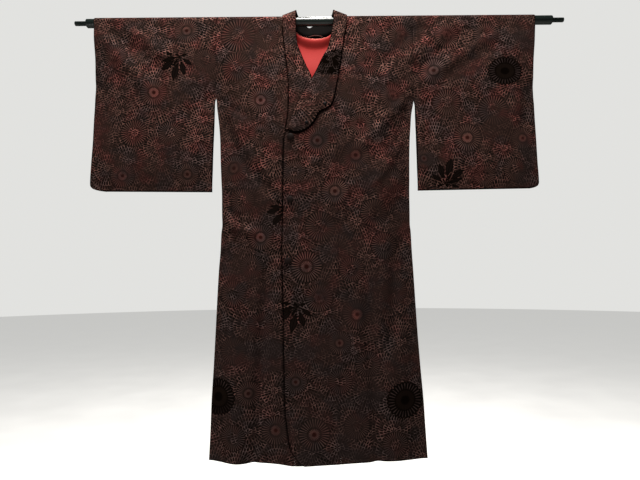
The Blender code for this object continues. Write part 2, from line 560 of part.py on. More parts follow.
def on_front(name, x, z, radius, height, stand):
    """A round piece that stands on the over front at (x, z), `stand` off the front's middle."""
    obj = turned(name, dome(radius, height), BUTTON_SIDES, "button")
    depth = float(over_front(np.array(x), np.array(z)))
    obj.rotation_euler = (pi / 2, 0.0, 0.0)
    obj.location = (x, -(depth + stand), z)
    obj.parent = coat


def hanging_loop():
    """A short cord loop on the neck seam behind the rod."""
    t = np.linspace(0.0, 1.0, LOOP_POINTS)
    curve = bpy.data.curves.new("hanging_loop", "CURVE")
    curve.dimensions = "3D"
    curve.bevel_depth = LOOP_RADIUS
    curve.bevel_resolution = LOOP_SIDES
    curve.use_fill_caps = True
    spline = curve.splines.new("POLY")
    spline.points.add(LOOP_POINTS - 1)
    for point, part in zip(spline.points, t):
        x = LOOP_X[0] + (LOOP_X[1] - LOOP_X[0]) * part
        point.co = (x, LOOP_Y, LOOP_Z + LOOP_RISE * sin(pi * part) ** LOOP_ROUND, 1.0)
    obj = bpy.data.objects.new("hanging_loop", curve)
    curve.materials.append(material("cord"))
    obj.parent = coat
    coat_pieces.objects.link(obj)


def lining_back():
    """The lining that shows at the neck, just inside the back."""
    x = np.linspace(-LINING_HALF_WIDTH, LINING_HALF_WIDTH, LINING_COLUMNS)[None, :]
    neckline = read(BACK_NECK[:-1], "x", "along", np.abs(x)) + LINING_DROP
    top = np.maximum(neckline, ARC + LINING_CLEAR)
    v = np.linspace(0.0, 1.0, LINING_ROWS)[:, None]
    along = top + (LINING_BOTTOM - top) * v
    inside = -(CLOTH + LINING) / 2 - 2 * GAP
    wall("lining_back", hang(x + 0 * along, along, 1, back, inside), LINING, "lining")


for old in list(bpy.data.objects):
    bpy.data.objects.remove(old, do_unlink=True)
coat_pieces = bpy.data.collections.new("michiyuki_coat")
bpy.context.scene.collection.children.link(coat_pieces)
coat = bpy.data.objects.new("coat", None)
coat.location.x = COAT_X
coat_pieces.objects.link(coat)

rod()
for side, side_name, front in ((1, "left", over_front), (-1, "right", under_front)):
    body_panel(f"front_{side_name}", side, -1, front, FRONT_ROWS, FRONT_LOW_ROWS, FRONT_COLUMNS)
    body_panel(f"back_{side_name}", side, 1, back, BACK_ROWS, BACK_LOW_ROWS, BACK_COLUMNS)
overlap_panel("overlap_left", 1, over_front)
overlap_panel("overlap_right", -1, under_front)
for side, side_name in ((1, "left"), (-1, "right")):
    sleeve_panel(f"sleeve_{side_name}_front", side, -1, sleeve_front, SLEEVE_FRONT_CELL)
    sleeve_panel(f"sleeve_{side_name}_back", side, 1, sleeve_back, SLEEVE_BACK_CELL)
collar()
lining_back()
hanging_loop()
for number, (x, z) in enumerate(BUTTONS, 1):
    on_front(f"button_{number}", x, z, BUTTON_RADIUS, BUTTON_HEIGHT, CLOTH / 2 + 2 * GAP)
for number, (x, z, swell) in enumerate(STUDS, 1):
    on_front(f"stud_{number}", x, z, STUD_RADIUS, STUD_HEIGHT, COLLAR_LIFT + swell + CLOTH / 2 + GAP)
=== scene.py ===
# %% [markdown]
# # A michiyuki coat on its rod
# A michiyuki is the long coat that is worn over a kimono. This one hangs by its sleeves on a
# round rod, so its shape comes from the weight of flat strips of silk. The packed model gives the
# rod and the stiff stand-ins of the cloth, and this script dresses them: each strip becomes a fine
# thin shell with its creases, its woven chrysanthemums and its turned edges.

# %% Load the frame
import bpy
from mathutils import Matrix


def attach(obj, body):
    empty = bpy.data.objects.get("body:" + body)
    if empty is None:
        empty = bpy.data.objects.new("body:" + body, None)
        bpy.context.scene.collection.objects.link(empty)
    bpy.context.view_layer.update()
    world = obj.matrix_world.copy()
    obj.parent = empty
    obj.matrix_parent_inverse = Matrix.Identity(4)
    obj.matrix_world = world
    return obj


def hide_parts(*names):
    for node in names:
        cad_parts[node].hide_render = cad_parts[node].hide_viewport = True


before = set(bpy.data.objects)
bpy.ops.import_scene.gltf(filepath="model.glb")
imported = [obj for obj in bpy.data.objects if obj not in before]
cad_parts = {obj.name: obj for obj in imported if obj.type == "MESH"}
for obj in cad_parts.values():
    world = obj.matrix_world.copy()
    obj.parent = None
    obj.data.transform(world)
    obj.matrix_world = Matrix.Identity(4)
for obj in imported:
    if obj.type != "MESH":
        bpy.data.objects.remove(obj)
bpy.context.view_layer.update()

from collections import namedtuple
from math import cos, hypot, pi, radians, sin

import bpy
import numpy as np
from mathutils import Matrix, Vector

# %% [markdown]
# ## Camera
# The photo was taken from the height of the coat's hip with a wide lens that was tilted up a
# little. The rod, 1.34 m long, spans most of the picture, which fixes how far away the camera was.
# A camera's own axes are its right, its up and its backward direction, so the three are worked out
# from the tilt and the small roll, and put side by side as the columns of its matrix.

# %% Camera
PHOTO_WIDTH = 640               # pixels across the photo
FOCAL_PIXELS = 481.0            # distance at which one pixel is one unit wide
CAMERA_PLACE = Vector((-0.0029, -1.3300, -0.7433))
CAMERA_TILT = radians(4.8)
CAMERA_ROLL = radians(0.45)
SENSOR = 36.0

forward = Vector((0.0, cos(CAMERA_TILT), sin(CAMERA_TILT)))
level_right = Vector((1.0, 0.0, 0.0))
level_up = level_right.cross(forward)
right = level_right * cos(CAMERA_ROLL) - level_up * sin(CAMERA_ROLL)
up = level_right * sin(CAMERA_ROLL) + level_up * cos(CAMERA_ROLL)

camera_data = bpy.data.cameras.new("camera")
camera_data.sensor_width = SENSOR
camera_data.lens = SENSOR * FOCAL_PIXELS / PHOTO_WIDTH
camera = bpy.data.objects.new("camera", camera_data)
bpy.context.scene.collection.objects.link(camera)
turn = Matrix((right, up, -forward)).transposed().to_4x4()
camera.matrix_world = Matrix.Translation(CAMERA_PLACE) @ turn
bpy.context.scene.camera = camera
print("lens", round(camera_data.lens, 2), "mm")

# %% [markdown]
# ## Light, floor and air
# Soft light from high above makes the upper flank of each fold bright and the lower one dark, so the
# key lamp hangs high and only a little in front. A low lamp from one side grazes the long upright
# flutes, and a lamp like the key lights the hidden back. A weak fill and a dim even world open the
# hollows. The camera sees the world and the floor as pale, while the coat gets only a little of
# their light.

# %% Light and floor
WARM = (1.0, 0.97, 0.93)
PALE_AIR = (0.80, 0.80, 0.78, 1.0)
WORLD_LIGHT, WORLD_SEEN = 0.055, 0.95
FLOOR_Z, FLOOR_RADIUS, FLOOR_SIDES = -1.62, 14.0, 96


def lamp(name, place, aim, size, power, color=(1.0, 1.0, 1.0)):
    """A square soft lamp at `place` that shines towards `aim`."""
    data = bpy.data.lights.new(name, "AREA")
    data.shape = "SQUARE"
    data.size = size
    data.energy = power
    data.color = color
    made = bpy.data.objects.new(name, data)
    made.location = place
    made.rotation_euler = (Vector(aim) - Vector(place)).to_track_quat("-Z", "Y").to_euler()
    bpy.context.scene.collection.objects.link(made)


def by_ray(tree, socket, for_others, for_camera):
    """Gives the socket one value for the camera's own rays and another for all other rays."""
    path = tree.nodes.new("ShaderNodeLightPath")
    choice = tree.nodes.new("ShaderNodeMapRange")
    choice.inputs["To Min"].default_value = for_others
    choice.inputs["To Max"].default_value = for_camera
    tree.links.new(path.outputs["Is Camera Ray"], choice.inputs["Value"])
    tree.links.new(choice.outputs["Result"], socket)


lamp("key", (-0.18, -0.80, 1.55), (0.0, 0.0, -0.25), 0.6, 93.0, WARM)
lamp("fill", (1.7, -1.6, 0.6), (0.0, 0.0, -0.3), 1.0, 5.0)
lamp("side", (-2.2, -0.85, -1.25), (0.0, 0.0, -1.0), 0.8, 11.5)
lamp("back", (0.25, 1.30, 1.30), (0.0, 0.0, -0.30), 0.6, 62.0, WARM)

world = bpy.data.worlds.new("air")
bpy.context.scene.world = world
world.use_nodes = True
background = world.node_tree.nodes["Background"]
background.inputs["Color"].default_value = PALE_AIR
by_ray(world.node_tree, background.inputs["Strength"], WORLD_LIGHT, WORLD_SEEN)
bpy.context.scene.view_settings.view_transform = "Standard"

around = np.linspace(0.0, 2 * pi, FLOOR_SIDES, endpoint=False)
rim = [FLOOR_RADIUS * np.cos(around), FLOOR_RADIUS * np.sin(around), np.full(FLOOR_SIDES, FLOOR_Z)]
floor_mesh = bpy.data.meshes.new("floor")
floor_mesh.from_pydata(np.stack(rim, axis=1).tolist(), [], [list(range(FLOOR_SIDES))])
floor = bpy.data.objects.new("floor", floor_mesh)
bpy.context.scene.collection.objects.link(floor)
print("lamps, world and floor are in place")

# %% [markdown]
# ## Reading a table
# A tailor describes a coat by a few widths and lengths, so each outline here is a short table with
# named columns. Between its rows the cloth runs in a smooth line. A cubic through the rows could
# swing past them, so the slope at each row is the harmonic mean of the slopes beside it, which
# never overshoots.

# %% Table reader
def table(columns, *rows):
    """Rows of numbers whose columns have names."""
    row_kind = namedtuple("Row", columns)
    return [row_kind(*row) for row in rows]


def smooth(t):
    """A soft step: 3 t squared minus 2 t cubed, held at 0 below t = 0 and at 1 above t = 1."""
    t = np.clip(t, 0.0, 1.0)
    return t * t * (3.0 - 2.0 * t)


def read(rows, key, name, at):
    """Column `name` at the places `at` of column `key`, on a curve that never overshoots a row."""
    x = np.array([getattr(row, key) for row in rows])
    y = np.array([getattr(row, name) for row in rows])
    order = np.argsort(x)
    x, y = x[order], y[order]
    width = np.diff(x)
    slope = np.diff(y) / width
    before, after = slope[:-1], slope[1:]
    both = before * after
    tangent = np.zeros_like(y)
    tangent[1:-1] = np.where(both > 0, 2 * both / np.where(both > 0, before + after, 1.0), 0.0)
    tangent[0], tangent[-1] = slope[0], slope[-1]
    at = np.asarray(at, dtype=float)
    i = np.clip(np.searchsorted(x, at) - 1, 0, len(x) - 2)
    h = width[i]
    t = np.clip((at - x[i]) / h, 0.0, 1.0)
    return (y[i] * (1 + 2 * t) * (1 - t) ** 2 + y[i + 1] * t * t * (3 - 2 * t)
            + h * tangent[i] * t * (1 - t) ** 2 - h * tangent[i + 1] * t * t * (1 - t))


print("halfway between 0 and 1 the soft step is", float(smooth(0.5)))

# %% [markdown]
# ## The coat's measurements
# These are the same real sizes that the solids have: the width of the body and the sleeves, how
# far the cloth stands in front of and behind the side seams, the hem, the necklines and the free
# front edge. Distances across are from the coat's centre line, which hangs 13 mm to one side of
# the rod's middle.

# %% Measurements
COAT_X = -0.013
CLOTH = 0.0016                  # thickness of the shells, a little less than the solids
LAYER = 0.0023                  # from the middle of one layer to the middle of the next
SEAM_DEPTH = LAYER / 2
FOLD_RADIUS = 0.0140
ARC = FOLD_RADIUS * pi / 2
HEM_DEPTH = 1.216
ARMPIT_Z = -0.232
OVERLAP_SEAM_X = 0.060
SEAM_GAP = 0.0003
SIDE_ROLL, CUFF_ROLL = 0.090, 0.055
FOLD_EASE, ROD_EASE = 0.0045, 0.030

BODY_SIDE = table("z left right",
    (0.000, 0.2790, 0.2822), (-0.222, 0.2790, 0.2822), (-0.236, 0.2790, 0.2800),
    (-0.250, 0.2767, 0.2792), (-0.280, 0.2712, 0.2755), (-0.316, 0.2682, 0.2715),
    (-0.350, 0.2655, 0.2692), (-0.404, 0.2632, 0.2676), (-0.461, 0.2620, 0.2650),
    (-0.503, 0.2608, 0.2629), (-0.560, 0.2604, 0.2621), (-0.587, 0.2600, 0.2610),
    (-0.612, 0.2622, 0.2635), (-0.660, 0.2638, 0.2654), (-0.715, 0.2665, 0.2695),
    (-0.875, 0.2738, 0.2766), (-0.970, 0.2794, 0.2808), (-1.065, 0.2860, 0.2857),
    (-1.130, 0.2890, 0.2876), (-1.230, 0.2940, 0.2917),
)
SLEEVE_SIDE = table("z inner_left inner_right outer_left outer_right",
    (0.000, 0.2790, 0.2822, 0.6296, 0.6310), (-0.065, 0.2790, 0.2822, 0.6255, 0.6276),
    (-0.140, 0.2790, 0.2822, 0.6196, 0.6239), (-0.180, 0.2790, 0.2822, 0.6190, 0.6238),
    (-0.222, 0.2790, 0.2822, 0.6191, 0.6254), (-0.236, 0.2794, 0.2848, 0.6195, 0.6257),
    (-0.250, 0.2822, 0.2857, 0.6203, 0.6259), (-0.280, 0.2830, 0.2866, 0.6205, 0.6270),
    (-0.350, 0.2848, 0.2888, 0.6220, 0.6284), (-0.415, 0.2850, 0.2904, 0.6230, 0.6314),
    (-0.465, 0.2852, 0.2908, 0.6245, 0.6327), (-0.476, 0.2850, 0.2906, 0.6245, 0.6322),
    (-0.486, 0.2848, 0.2904, 0.6215, 0.6255), (-0.492, 0.2846, 0.2902, 0.6130, 0.6100),
    (-0.495, 0.2845, 0.2902, 0.6000, 0.5900),
)
SLEEVE_BOTTOM, SLEEVE_EVEN, SLEEVE_RISE = -0.495, -0.440, 0.004
BODY_DEPTH = table("z middle",
    (0.000, 0.0140), (-0.012, 0.0140), (-0.060, 0.0155), (-0.120, 0.0175),
    (-0.232, 0.0210), (-0.350, 0.0240), (-0.500, 0.0240), (-0.587, 0.0210),
    (-0.700, 0.0230), (-0.900, 0.0250), (-1.100, 0.0280), (-1.230, 0.0300),
)
SLEEVE_DEPTH = table("z inner middle outer",
    (0.000, 0.01400, 0.0140, 0.01400), (-0.012, 0.01400, 0.0140, 0.01400),
    (-0.060, 0.01300, 0.0150, 0.01380), (-0.120, 0.01050, 0.0155, 0.01250),
    (-0.170, 0.00750, 0.0145, 0.00800), (-0.205, 0.00440, 0.0135, SEAM_DEPTH),
    (-0.225, 0.00200, 0.0130, SEAM_DEPTH), (-0.232, SEAM_DEPTH, 0.0130, SEAM_DEPTH),
    (-0.260, 0.00350, 0.0120, SEAM_DEPTH), (-0.330, 0.00700, 0.0110, SEAM_DEPTH),
    (-0.420, 0.00600, 0.0085, SEAM_DEPTH), (-0.470, 0.00280, 0.0035, SEAM_DEPTH),
    (-0.486, SEAM_DEPTH, SEAM_DEPTH, SEAM_DEPTH), (-0.495, SEAM_DEPTH, SEAM_DEPTH, SEAM_DEPTH),
)
OVER_LIFT = table("z lift",
    (0.000, 0.0000), (-0.050, 0.0000), (-0.160, 0.0048), (-0.200, 0.0054),
    (-0.340, 0.0054), (-0.420, 0.0036), (-1.250, 0.0036),
)
LIFT_START, LIFT_END = 0.175, 0.093
HEM = table("x z",
    (-0.292, -1.2185), (-0.260, -1.2200), (-0.210, -1.2192), (-0.150, -1.2168),
    (-0.100, -1.2205), (-0.064, -1.2250), (-0.025, -1.2245), (0.043, -1.2222),
    (0.095, -1.2190), (0.150, -1.2165), (0.205, -1.2140), (0.260, -1.2170),
    (0.294, -1.2185),
)
FRONT_NECK = table("z left right",
    (0.000, 0.0830, 0.0830), (-0.057, 0.0745, 0.0810), (-0.107, 0.0670, 0.0750),
    (-0.150, 0.0602, 0.0695), (-0.205, 0.0602, 0.0665), (-0.249, 0.0602, 0.0655),
    (-0.275, 0.0602, 0.0630), (-0.290, 0.0602, 0.0602), (-1.230, 0.0602, 0.0602),
)
BACK_NECK = table("along x",
    (0.0000, 0.0830), (0.0160, 0.0770), (0.0320, 0.0660),
    (0.0460, 0.0500), (0.0560, 0.0350), (0.0610, 0.0190),
    (0.0630, 0.0002), (1.3000, 0.0002),
)
OVERLAP_EDGE = table("z x",
    (-0.3155, -0.070), (-0.326, -0.077), (-0.338, -0.0835), (-0.352, -0.087),
    (-0.465, -0.090), (-0.563, -0.091), (-0.646, -0.093), (-0.798, -0.090),
    (-0.945, -0.088), (-1.066, -0.085), (-1.139, -0.078), (-1.177, -0.071),
    (-1.206, -0.054), (-1.222, -0.035),
)
OVERLAP_TOP = table("x over under",
    (-0.093, -0.3160, -0.3030), (-0.070, -0.3155, -0.3030), (-0.055, -0.3200, -0.3030),
    (-0.036, -0.3150, -0.3030), (-0.020, -0.3020, -0.3030), (-0.006, -0.2850, -0.3020),
    (0.006, -0.2680, -0.3010), (0.020, -0.2600, -0.2990), (0.036, -0.2500, -0.2960),
    (0.045, -0.2350, -0.2940), (0.051, -0.2050, -0.2920), (0.055, -0.1800, -0.2910),
    (0.060, -0.1520, -0.2900),
)
print("span from cuff to cuff:", SLEEVE_SIDE[0].outer_left + SLEEVE_SIDE[0].outer_right, "m")

# %% [markdown]
# ## Folds
# The coat hangs from the rod, so the cloth is drawn in straight folds from each armpit up to the
# rod and down to the buttons. Each fold is one row: the line it follows, half its width, and its
# height, which is negative for a trough. Across its line a fold is a bell, and it fades at both
# ends. The hidden back has folds of the same kind.

# %% Fold tables
FOLD = "x0 z0 x1 z1 half_width height"
FRONT_FOLDS = table(FOLD,
    # wearer's left sleeve and shoulder, drawn up from the armpit to the rod
    (0.291, -0.195, 0.516, -0.045, 0.015, 0.0045), (0.353, -0.178, 0.540, -0.068, 0.026, -0.0020),
    (0.297, -0.143, 0.454, -0.023, 0.014, -0.0030), (0.252, -0.130, 0.397, -0.014, 0.016, 0.0035),
    (0.315, -0.012, 0.165, -0.155, 0.020, -0.0040), (0.436, -0.199, 0.583, -0.054, 0.030, 0.0030),
    (0.600, -0.270, 0.510, -0.440, 0.030, -0.0020),
    # wearer's left front, drawn down from the armpit to the buttons
    (0.270, -0.222, 0.110, -0.388, 0.016, 0.0050), (0.105, -0.350, -0.035, -0.440, 0.018, 0.0035),
    (0.262, -0.328, 0.150, -0.500, 0.016, 0.0045), (0.182, -0.412, -0.011, -0.594, 0.022, 0.0030),
    (0.254, -0.426, 0.107, -0.612, 0.024, 0.0035),
    # wearer's right front
    (-0.250, -0.262, -0.185, -0.385, 0.014, 0.0035), (-0.185, -0.385, -0.118, -0.470, 0.014, 0.0030),
    (-0.262, -0.276, -0.207, -0.408, 0.013, -0.0035), (-0.207, -0.408, -0.130, -0.505, 0.013, -0.0040),
    (-0.262, -0.520, -0.215, -0.590, 0.013, -0.0035), (-0.275, -0.572, -0.168, -0.618, 0.016, 0.0105),
    # wearer's right sleeve
    (-0.595, -0.020, -0.410, -0.170, 0.020, -0.0040), (-0.618, -0.040, -0.470, -0.205, 0.020, 0.0050),
    (-0.530, -0.025, -0.410, -0.115, 0.015, 0.0040), (-0.602, -0.088, -0.567, -0.320, 0.035, -0.0040),
    # crease of a coat that was stored folded at the waist
    (-0.258, -0.592, 0.256, -0.585, 0.016, -0.0008),
    # long flutes down to the hem
    (-0.235, -0.760, -0.215, -1.260, 0.030, 0.0060), (-0.138, -0.730, -0.171, -1.240, 0.014, -0.0110),
    (-0.060, -0.900, -0.040, -1.260, 0.050, 0.0045), (0.134, -0.800, 0.158, -1.240, 0.014, -0.0105),
    (0.222, -0.640, 0.196, -0.930, 0.018, -0.0095), (0.190, -0.960, 0.200, -1.260, 0.032, 0.0040),
)
BACK_FOLDS = table(FOLD,
    (0.285, -0.200, 0.480, -0.030, 0.024, 0.0050), (0.330, -0.190, 0.560, -0.060, 0.026, -0.0030),
    (-0.285, -0.200, -0.500, -0.028, 0.024, 0.0045), (-0.340, -0.170, -0.540, -0.050, 0.026, -0.0030),
    (0.262, -0.250, 0.110, -0.430, 0.026, 0.0050), (0.240, -0.330, 0.060, -0.520, 0.026, -0.0035),
    (-0.262, -0.260, -0.130, -0.440, 0.026, 0.0045), (-0.230, -0.380, -0.070, -0.540, 0.026, -0.0035),
    (-0.256, -0.588, 0.256, -0.590, 0.018, -0.0020),
    (-0.190, -0.780, -0.200, -1.260, 0.034, -0.0060), (-0.090, -0.850, -0.100, -1.260, 0.036, 0.0060),
    (0.080, -0.820, 0.090, -1.260, 0.036, -0.0060), (0.180, -0.800, 0.190, -1.260, 0.036, 0.0055),
)
# small creases, too fine for the solids
FRONT_CREASES = table(FOLD,
    (0.288, -0.236, 0.372, -0.358, 0.010, -0.0025), (0.410, -0.425, 0.480, -0.475, 0.012, -0.0020),
    (0.300, -0.118, 0.372, -0.048, 0.007, 0.0014), (0.305, -0.160, 0.400, -0.092, 0.006, -0.0010),
    (0.262, -0.280, 0.235, -0.322, 0.007, -0.0020), (0.260, -0.205, 0.165, -0.250, 0.010, 0.0015),
    (0.262, -0.258, 0.150, -0.365, 0.006, -0.0014), (0.256, -0.508, 0.165, -0.598, 0.010, -0.0010),
    (0.215, -0.420, 0.150, -0.490, 0.007, 0.0012), (0.240, -0.565, 0.160, -0.640, 0.009, 0.0014),
    (-0.272, -0.235, -0.150, -0.312, 0.008, -0.0026), (-0.165, -0.440, -0.102, -0.532, 0.008, -0.0022),
    (-0.150, -0.600, -0.095, -0.695, 0.011, -0.0040), (-0.250, -0.470, -0.190, -0.530, 0.009, 0.0014),
    (-0.560, -0.045, -0.470, -0.125, 0.007, -0.0012), (-0.330, -0.160, -0.420, -0.230, 0.012, 0.0014),
    (-0.250, -0.590, 0.250, -0.584, 0.0040, -0.0005), (0.280, -0.452, 0.605, -0.449, 0.0035, -0.0005),
    (-0.600, -0.456, -0.300, -0.458, 0.0035, -0.0003),
)
print("folds in front:", len(FRONT_FOLDS), "behind:", len(BACK_FOLDS), "creases:", len(FRONT_CREASES))

# %% [markdown]
# ## Drawing the folds
# A sharp line would look like cut paper, so each fold is a soft bell across its line. Between the
# folds, silk is never quite flat: crossing waves that mostly run down the cloth give it a slight
# unevenness.

# %% Folds and ripples
SEED = 7
FADE = 0.15                     # a fold fades over this part of its length either side of an end
WAVES = 26                      # how many crossing waves
WAVE_SIZES = (0.04, 0.16)
WAVE_TURN = 0.6
WAVE_SCALE = 0.16               # brings the mean of the waves to about 1 at its highest


def fold_height(rows, x, z):
    """Sum over the rows of: height, times exp of minus (distance from the line / half width)
    squared, times a soft step at both ends of the line."""
    total = np.zeros(np.broadcast(x, z).shape)
    for fold in rows:
        dx, dz = fold.x1 - fold.x0, fold.z1 - fold.z0
        length = hypot(dx, dz)
        along = ((x - fold.x0) * dx + (z - fold.z0) * dz) / length ** 2
        across = ((x - fold.x0) * dz - (z - fold.z0) * dx) / length
        fade = smooth((along + FADE) / (2 * FADE)) * smooth((1 + FADE - along) / (2 * FADE))
        total += fold.height * fade * np.exp(-(across / fold.half_width) ** 2)
    return total


def ripple(x, z, seed=SEED):
    """The sum of sine waves with their own sizes, directions and starts, over WAVE_SCALE times the
    root of their number."""
    draw = np.random.default_rng(seed)
    total = np.zeros(np.broadcast(x, z).shape)
    for _ in range(WAVES):
        size = draw.uniform(*WAVE_SIZES)
        heading = draw.normal(0.0, WAVE_TURN)
        start = draw.uniform(0.0, 2 * pi)
        total += np.sin(2 * pi / size * (x * cos(heading) + z * sin(heading)) + start) * size
    return total / (WAVE_SCALE * WAVES ** 0.5)


print("height of the shoulder fold, mm:", round(1000 * float(fold_height(FRONT_FOLDS[:1], 0.40, -0.12)), 1))

# %% [markdown]
# ## Where each layer hangs
# Every point of the cloth is given by its place across and its length along the strip from the
# top of the shoulder fold. On the rod the strip follows a quarter circle. Below it, the strip
# hangs at a depth that swells from the seams to the middle and carries the folds.

# %% Depth of the layers
RIPPLE = 0.0009


def half_width(x, z):
    """From the centre line to the side seam, on the side that x is on."""
    return np.where(x > 0, read(BODY_SIDE, "z", "left", z), read(BODY_SIDE, "z", "right", z))


def sleeve_edge(name, x, z):
    """From the centre line to a sleeve's inner or outer edge, on the side that x is on."""
    left, right = (read(SLEEVE_SIDE, "z", f"{name}_{side}", z) for side in ("left", "right"))
    return np.where(x > 0, left, right)


def body_depth(x, z):
    """Depth at the side seam plus the swell towards the middle, by a soft step over SIDE_ROLL."""
    middle = read(BODY_DEPTH, "z", "middle", z)
    edge = np.where(z > ARMPIT_Z, read(SLEEVE_DEPTH, "z", "inner", z), SEAM_DEPTH)
    inside = half_width(x, z) - np.abs(x)
    return edge + (middle - edge) * smooth(inside / SIDE_ROLL)


def sleeve_depth(x, z):
    """The middle depth, less what a soft step takes away towards the armhole and the cuff."""
    middle = read(SLEEVE_DEPTH, "z", "middle", z)
    inner = read(SLEEVE_DEPTH, "z", "inner", z)
    outer = read(SLEEVE_DEPTH, "z", "outer", z)
    from_inner = (np.abs(x) - sleeve_edge("inner", x, z)) / SIDE_ROLL
    from_outer = (sleeve_edge("outer", x, z) - np.abs(x)) / CUFF_ROLL
    return (middle - (middle - inner) * (1 - smooth(from_inner))
            - (middle - outer) * (1 - smooth(from_outer)))


def folded(depth, rows, x, z, seed):
    """Depth plus folds plus ripple, both eased out at seams and close to the rod. No trough is
    deeper than the seams, so that front and back never meet."""
    ease = smooth((depth - SEAM_DEPTH) / FOLD_EASE) * smooth(-z / ROD_EASE)
    full = depth + ease * (fold_height(rows, x, z) + RIPPLE * ripple(x, z, seed))
    return np.maximum(full, np.minimum(depth, SEAM_DEPTH))


def lift(x, z):
    """How far the over front is lifted by the layers below, by a soft step across the overlap."""
    side = smooth((LIFT_START - x) / (LIFT_START - LIFT_END))
    return side * read(OVER_LIFT, "z", "lift", z)


def layer(depth, rows, seed):
    """The depth function of one layer of cloth: its plain depth with its own folds and ripples."""
    return lambda x, z: folded(depth(x, z), rows, x, z, seed)


under_front = layer(body_depth, FRONT_FOLDS + FRONT_CREASES, SEED)
back = layer(body_depth, BACK_FOLDS, SEED + 1)
sleeve_front = layer(sleeve_depth, FRONT_FOLDS + FRONT_CREASES, SEED)
sleeve_back = layer(sleeve_depth, BACK_FOLDS, SEED + 1)


def over_front(x, z):
    """The under front's depth plus the lift."""
    return under_front(x, z) + lift(x, z)


def hang(x, along, face, depth, out=0.0):
    """Points of a strip over the rod: a circle of FOLD_RADIUS for the first ARC of its length, then
    straight down at depth(x, z) + out. face is -1 in front and 1 behind."""
    angle = np.clip(along / FOLD_RADIUS, 0.0, pi / 2)
    level = ARC - along
    on_rod = along < ARC
    y = np.where(on_rod, (FOLD_RADIUS + out) * np.sin(angle), depth(x, np.minimum(level, 0.0)) + out)
    z = np.where(on_rod, (FOLD_RADIUS + out) * np.cos(angle), level)
    return np.stack([x, face * y, z], axis=-1)


print("depth of the front at the waist:", round(float(over_front(np.array(0.0), np.array(-0.5))), 4))

# %% [markdown]
# ## The woven flowers
# The cloth is covered with round chrysanthemums, some with a bright heart, and between them the
# ground is filled with small petals. A few black medallions and leaf sprays lie on top. They are
# charted as rows: where each sits, its radius, and how strongly its heart glows. Each vertex then
# stores the way to its nearest flower, so that the material can draw the petals round that flower's
# middle. The back repeats the front's flowers, turned round and moved along.

# %% Flower charts
FLOWERS = table("x z radius glow",
    (-0.455, -0.212, 0.038, 1.0), (-0.365, -0.032, 0.035, 0.6), (-0.540, -0.448, 0.034, 0.8),
    (-0.359, -0.445, 0.032, 0.5), (-0.310, -0.118, 0.033, 0.2), (-0.566, -0.107, 0.034, 0.3),
    (-0.509, -0.328, 0.039, 0.1), (-0.407, -0.329, 0.034, 0.2), (-0.218, -0.047, 0.050, 0.2),
    (-0.222, -0.140, 0.043, 0.2), (-0.153, -0.239, 0.038, 0.8), (-0.228, -0.430, 0.038, 0.5),
    (-0.152, -0.625, 0.036, 0.8), (-0.202, -0.523, 0.034, 0.2), (-0.226, -0.778, 0.037, 0.1),
    (-0.183, -1.040, 0.032, 0.5), (-0.110, -1.135, 0.038, 0.6), (-0.176, -0.704, 0.032, 0.3),
    (-0.151, -0.860, 0.034, 0.1), (-0.152, -0.339, 0.034, 0.2), (-0.225, -0.930, 0.036, 0.2),
    (-0.136, -0.057, 0.033, 0.1), (-0.223, -1.154, 0.034, 0.2), (0.005, -0.358, 0.038, 0.5),
    (-0.059, -0.444, 0.032, 0.3), (0.011, -0.597, 0.042, 0.3), (-0.027, -0.706, 0.043, 0.7),
    (0.006, -0.790, 0.038, 0.4), (0.108, -0.835, 0.040, 1.0), (0.060, -0.910, 0.031, 0.6),
    (-0.009, -1.145, 0.042, 0.6), (-0.057, -1.010, 0.031, 0.5), (0.110, -0.400, 0.038, 0.7),
    (0.052, -0.500, 0.038, 0.7), (0.217, -0.229, 0.036, 0.4), (0.125, -0.310, 0.032, 0.3),
    (0.158, -0.560, 0.038, 0.2), (0.185, -0.650, 0.037, 0.3), (0.212, -0.773, 0.035, 0.2),
    (0.104, -1.125, 0.034, 0.3), (0.204, -1.173, 0.034, 0.2), (0.135, -0.967, 0.034, 0.3),
    (0.100, -0.215, 0.034, 0.2), (0.150, -0.130, 0.036, 0.2), (0.215, -0.470, 0.034, 0.3),
    (0.061, -1.010, 0.033, 0.2), (0.095, -0.715, 0.034, 0.2), (0.335, -0.155, 0.038, 0.6),
    (0.425, -0.348, 0.040, 1.0), (0.581, -0.350, 0.032, 0.8), (0.303, -0.405, 0.027, 0.5),
    (0.370, -0.247, 0.039, 0.3), (0.471, -0.455, 0.030, 0.3), (0.245, -0.051, 0.036, 0.4),
    (0.374, -0.052, 0.035, 0.4), (0.486, -0.050, 0.036, 0.3), (0.500, -0.270, 0.043, 0.2),
    (0.556, -0.438, 0.032, 0.3), (0.160, -0.041, 0.032, 0.3),
)
MOTIF = "x z width height kind turn"
MEDALLION, SPRAY, DARK = 1.0, 2.0, 3.0
FRONT_MOTIFS = table(MOTIF,
    (0.536, -0.158, 0.051, 0.041, MEDALLION, 0.0), (0.233, -1.062, 0.052, 0.049, MEDALLION, 0.0),
    (-0.266, -1.052, 0.050, 0.050, MEDALLION, 0.0), (-0.388, -0.130, 0.046, 0.046, SPRAY, 0.0),
    (0.365, -0.454, 0.047, 0.047, SPRAY, 3.14),
)
UNDER_MOTIFS = table(MOTIF, (-0.093, -0.560, 0.040, 0.040, SPRAY, -0.4))   # half hidden by the overlap
OVERLAP_MOTIFS = table(MOTIF, (-0.055, -0.834, 0.047, 0.047, SPRAY, 0.0))
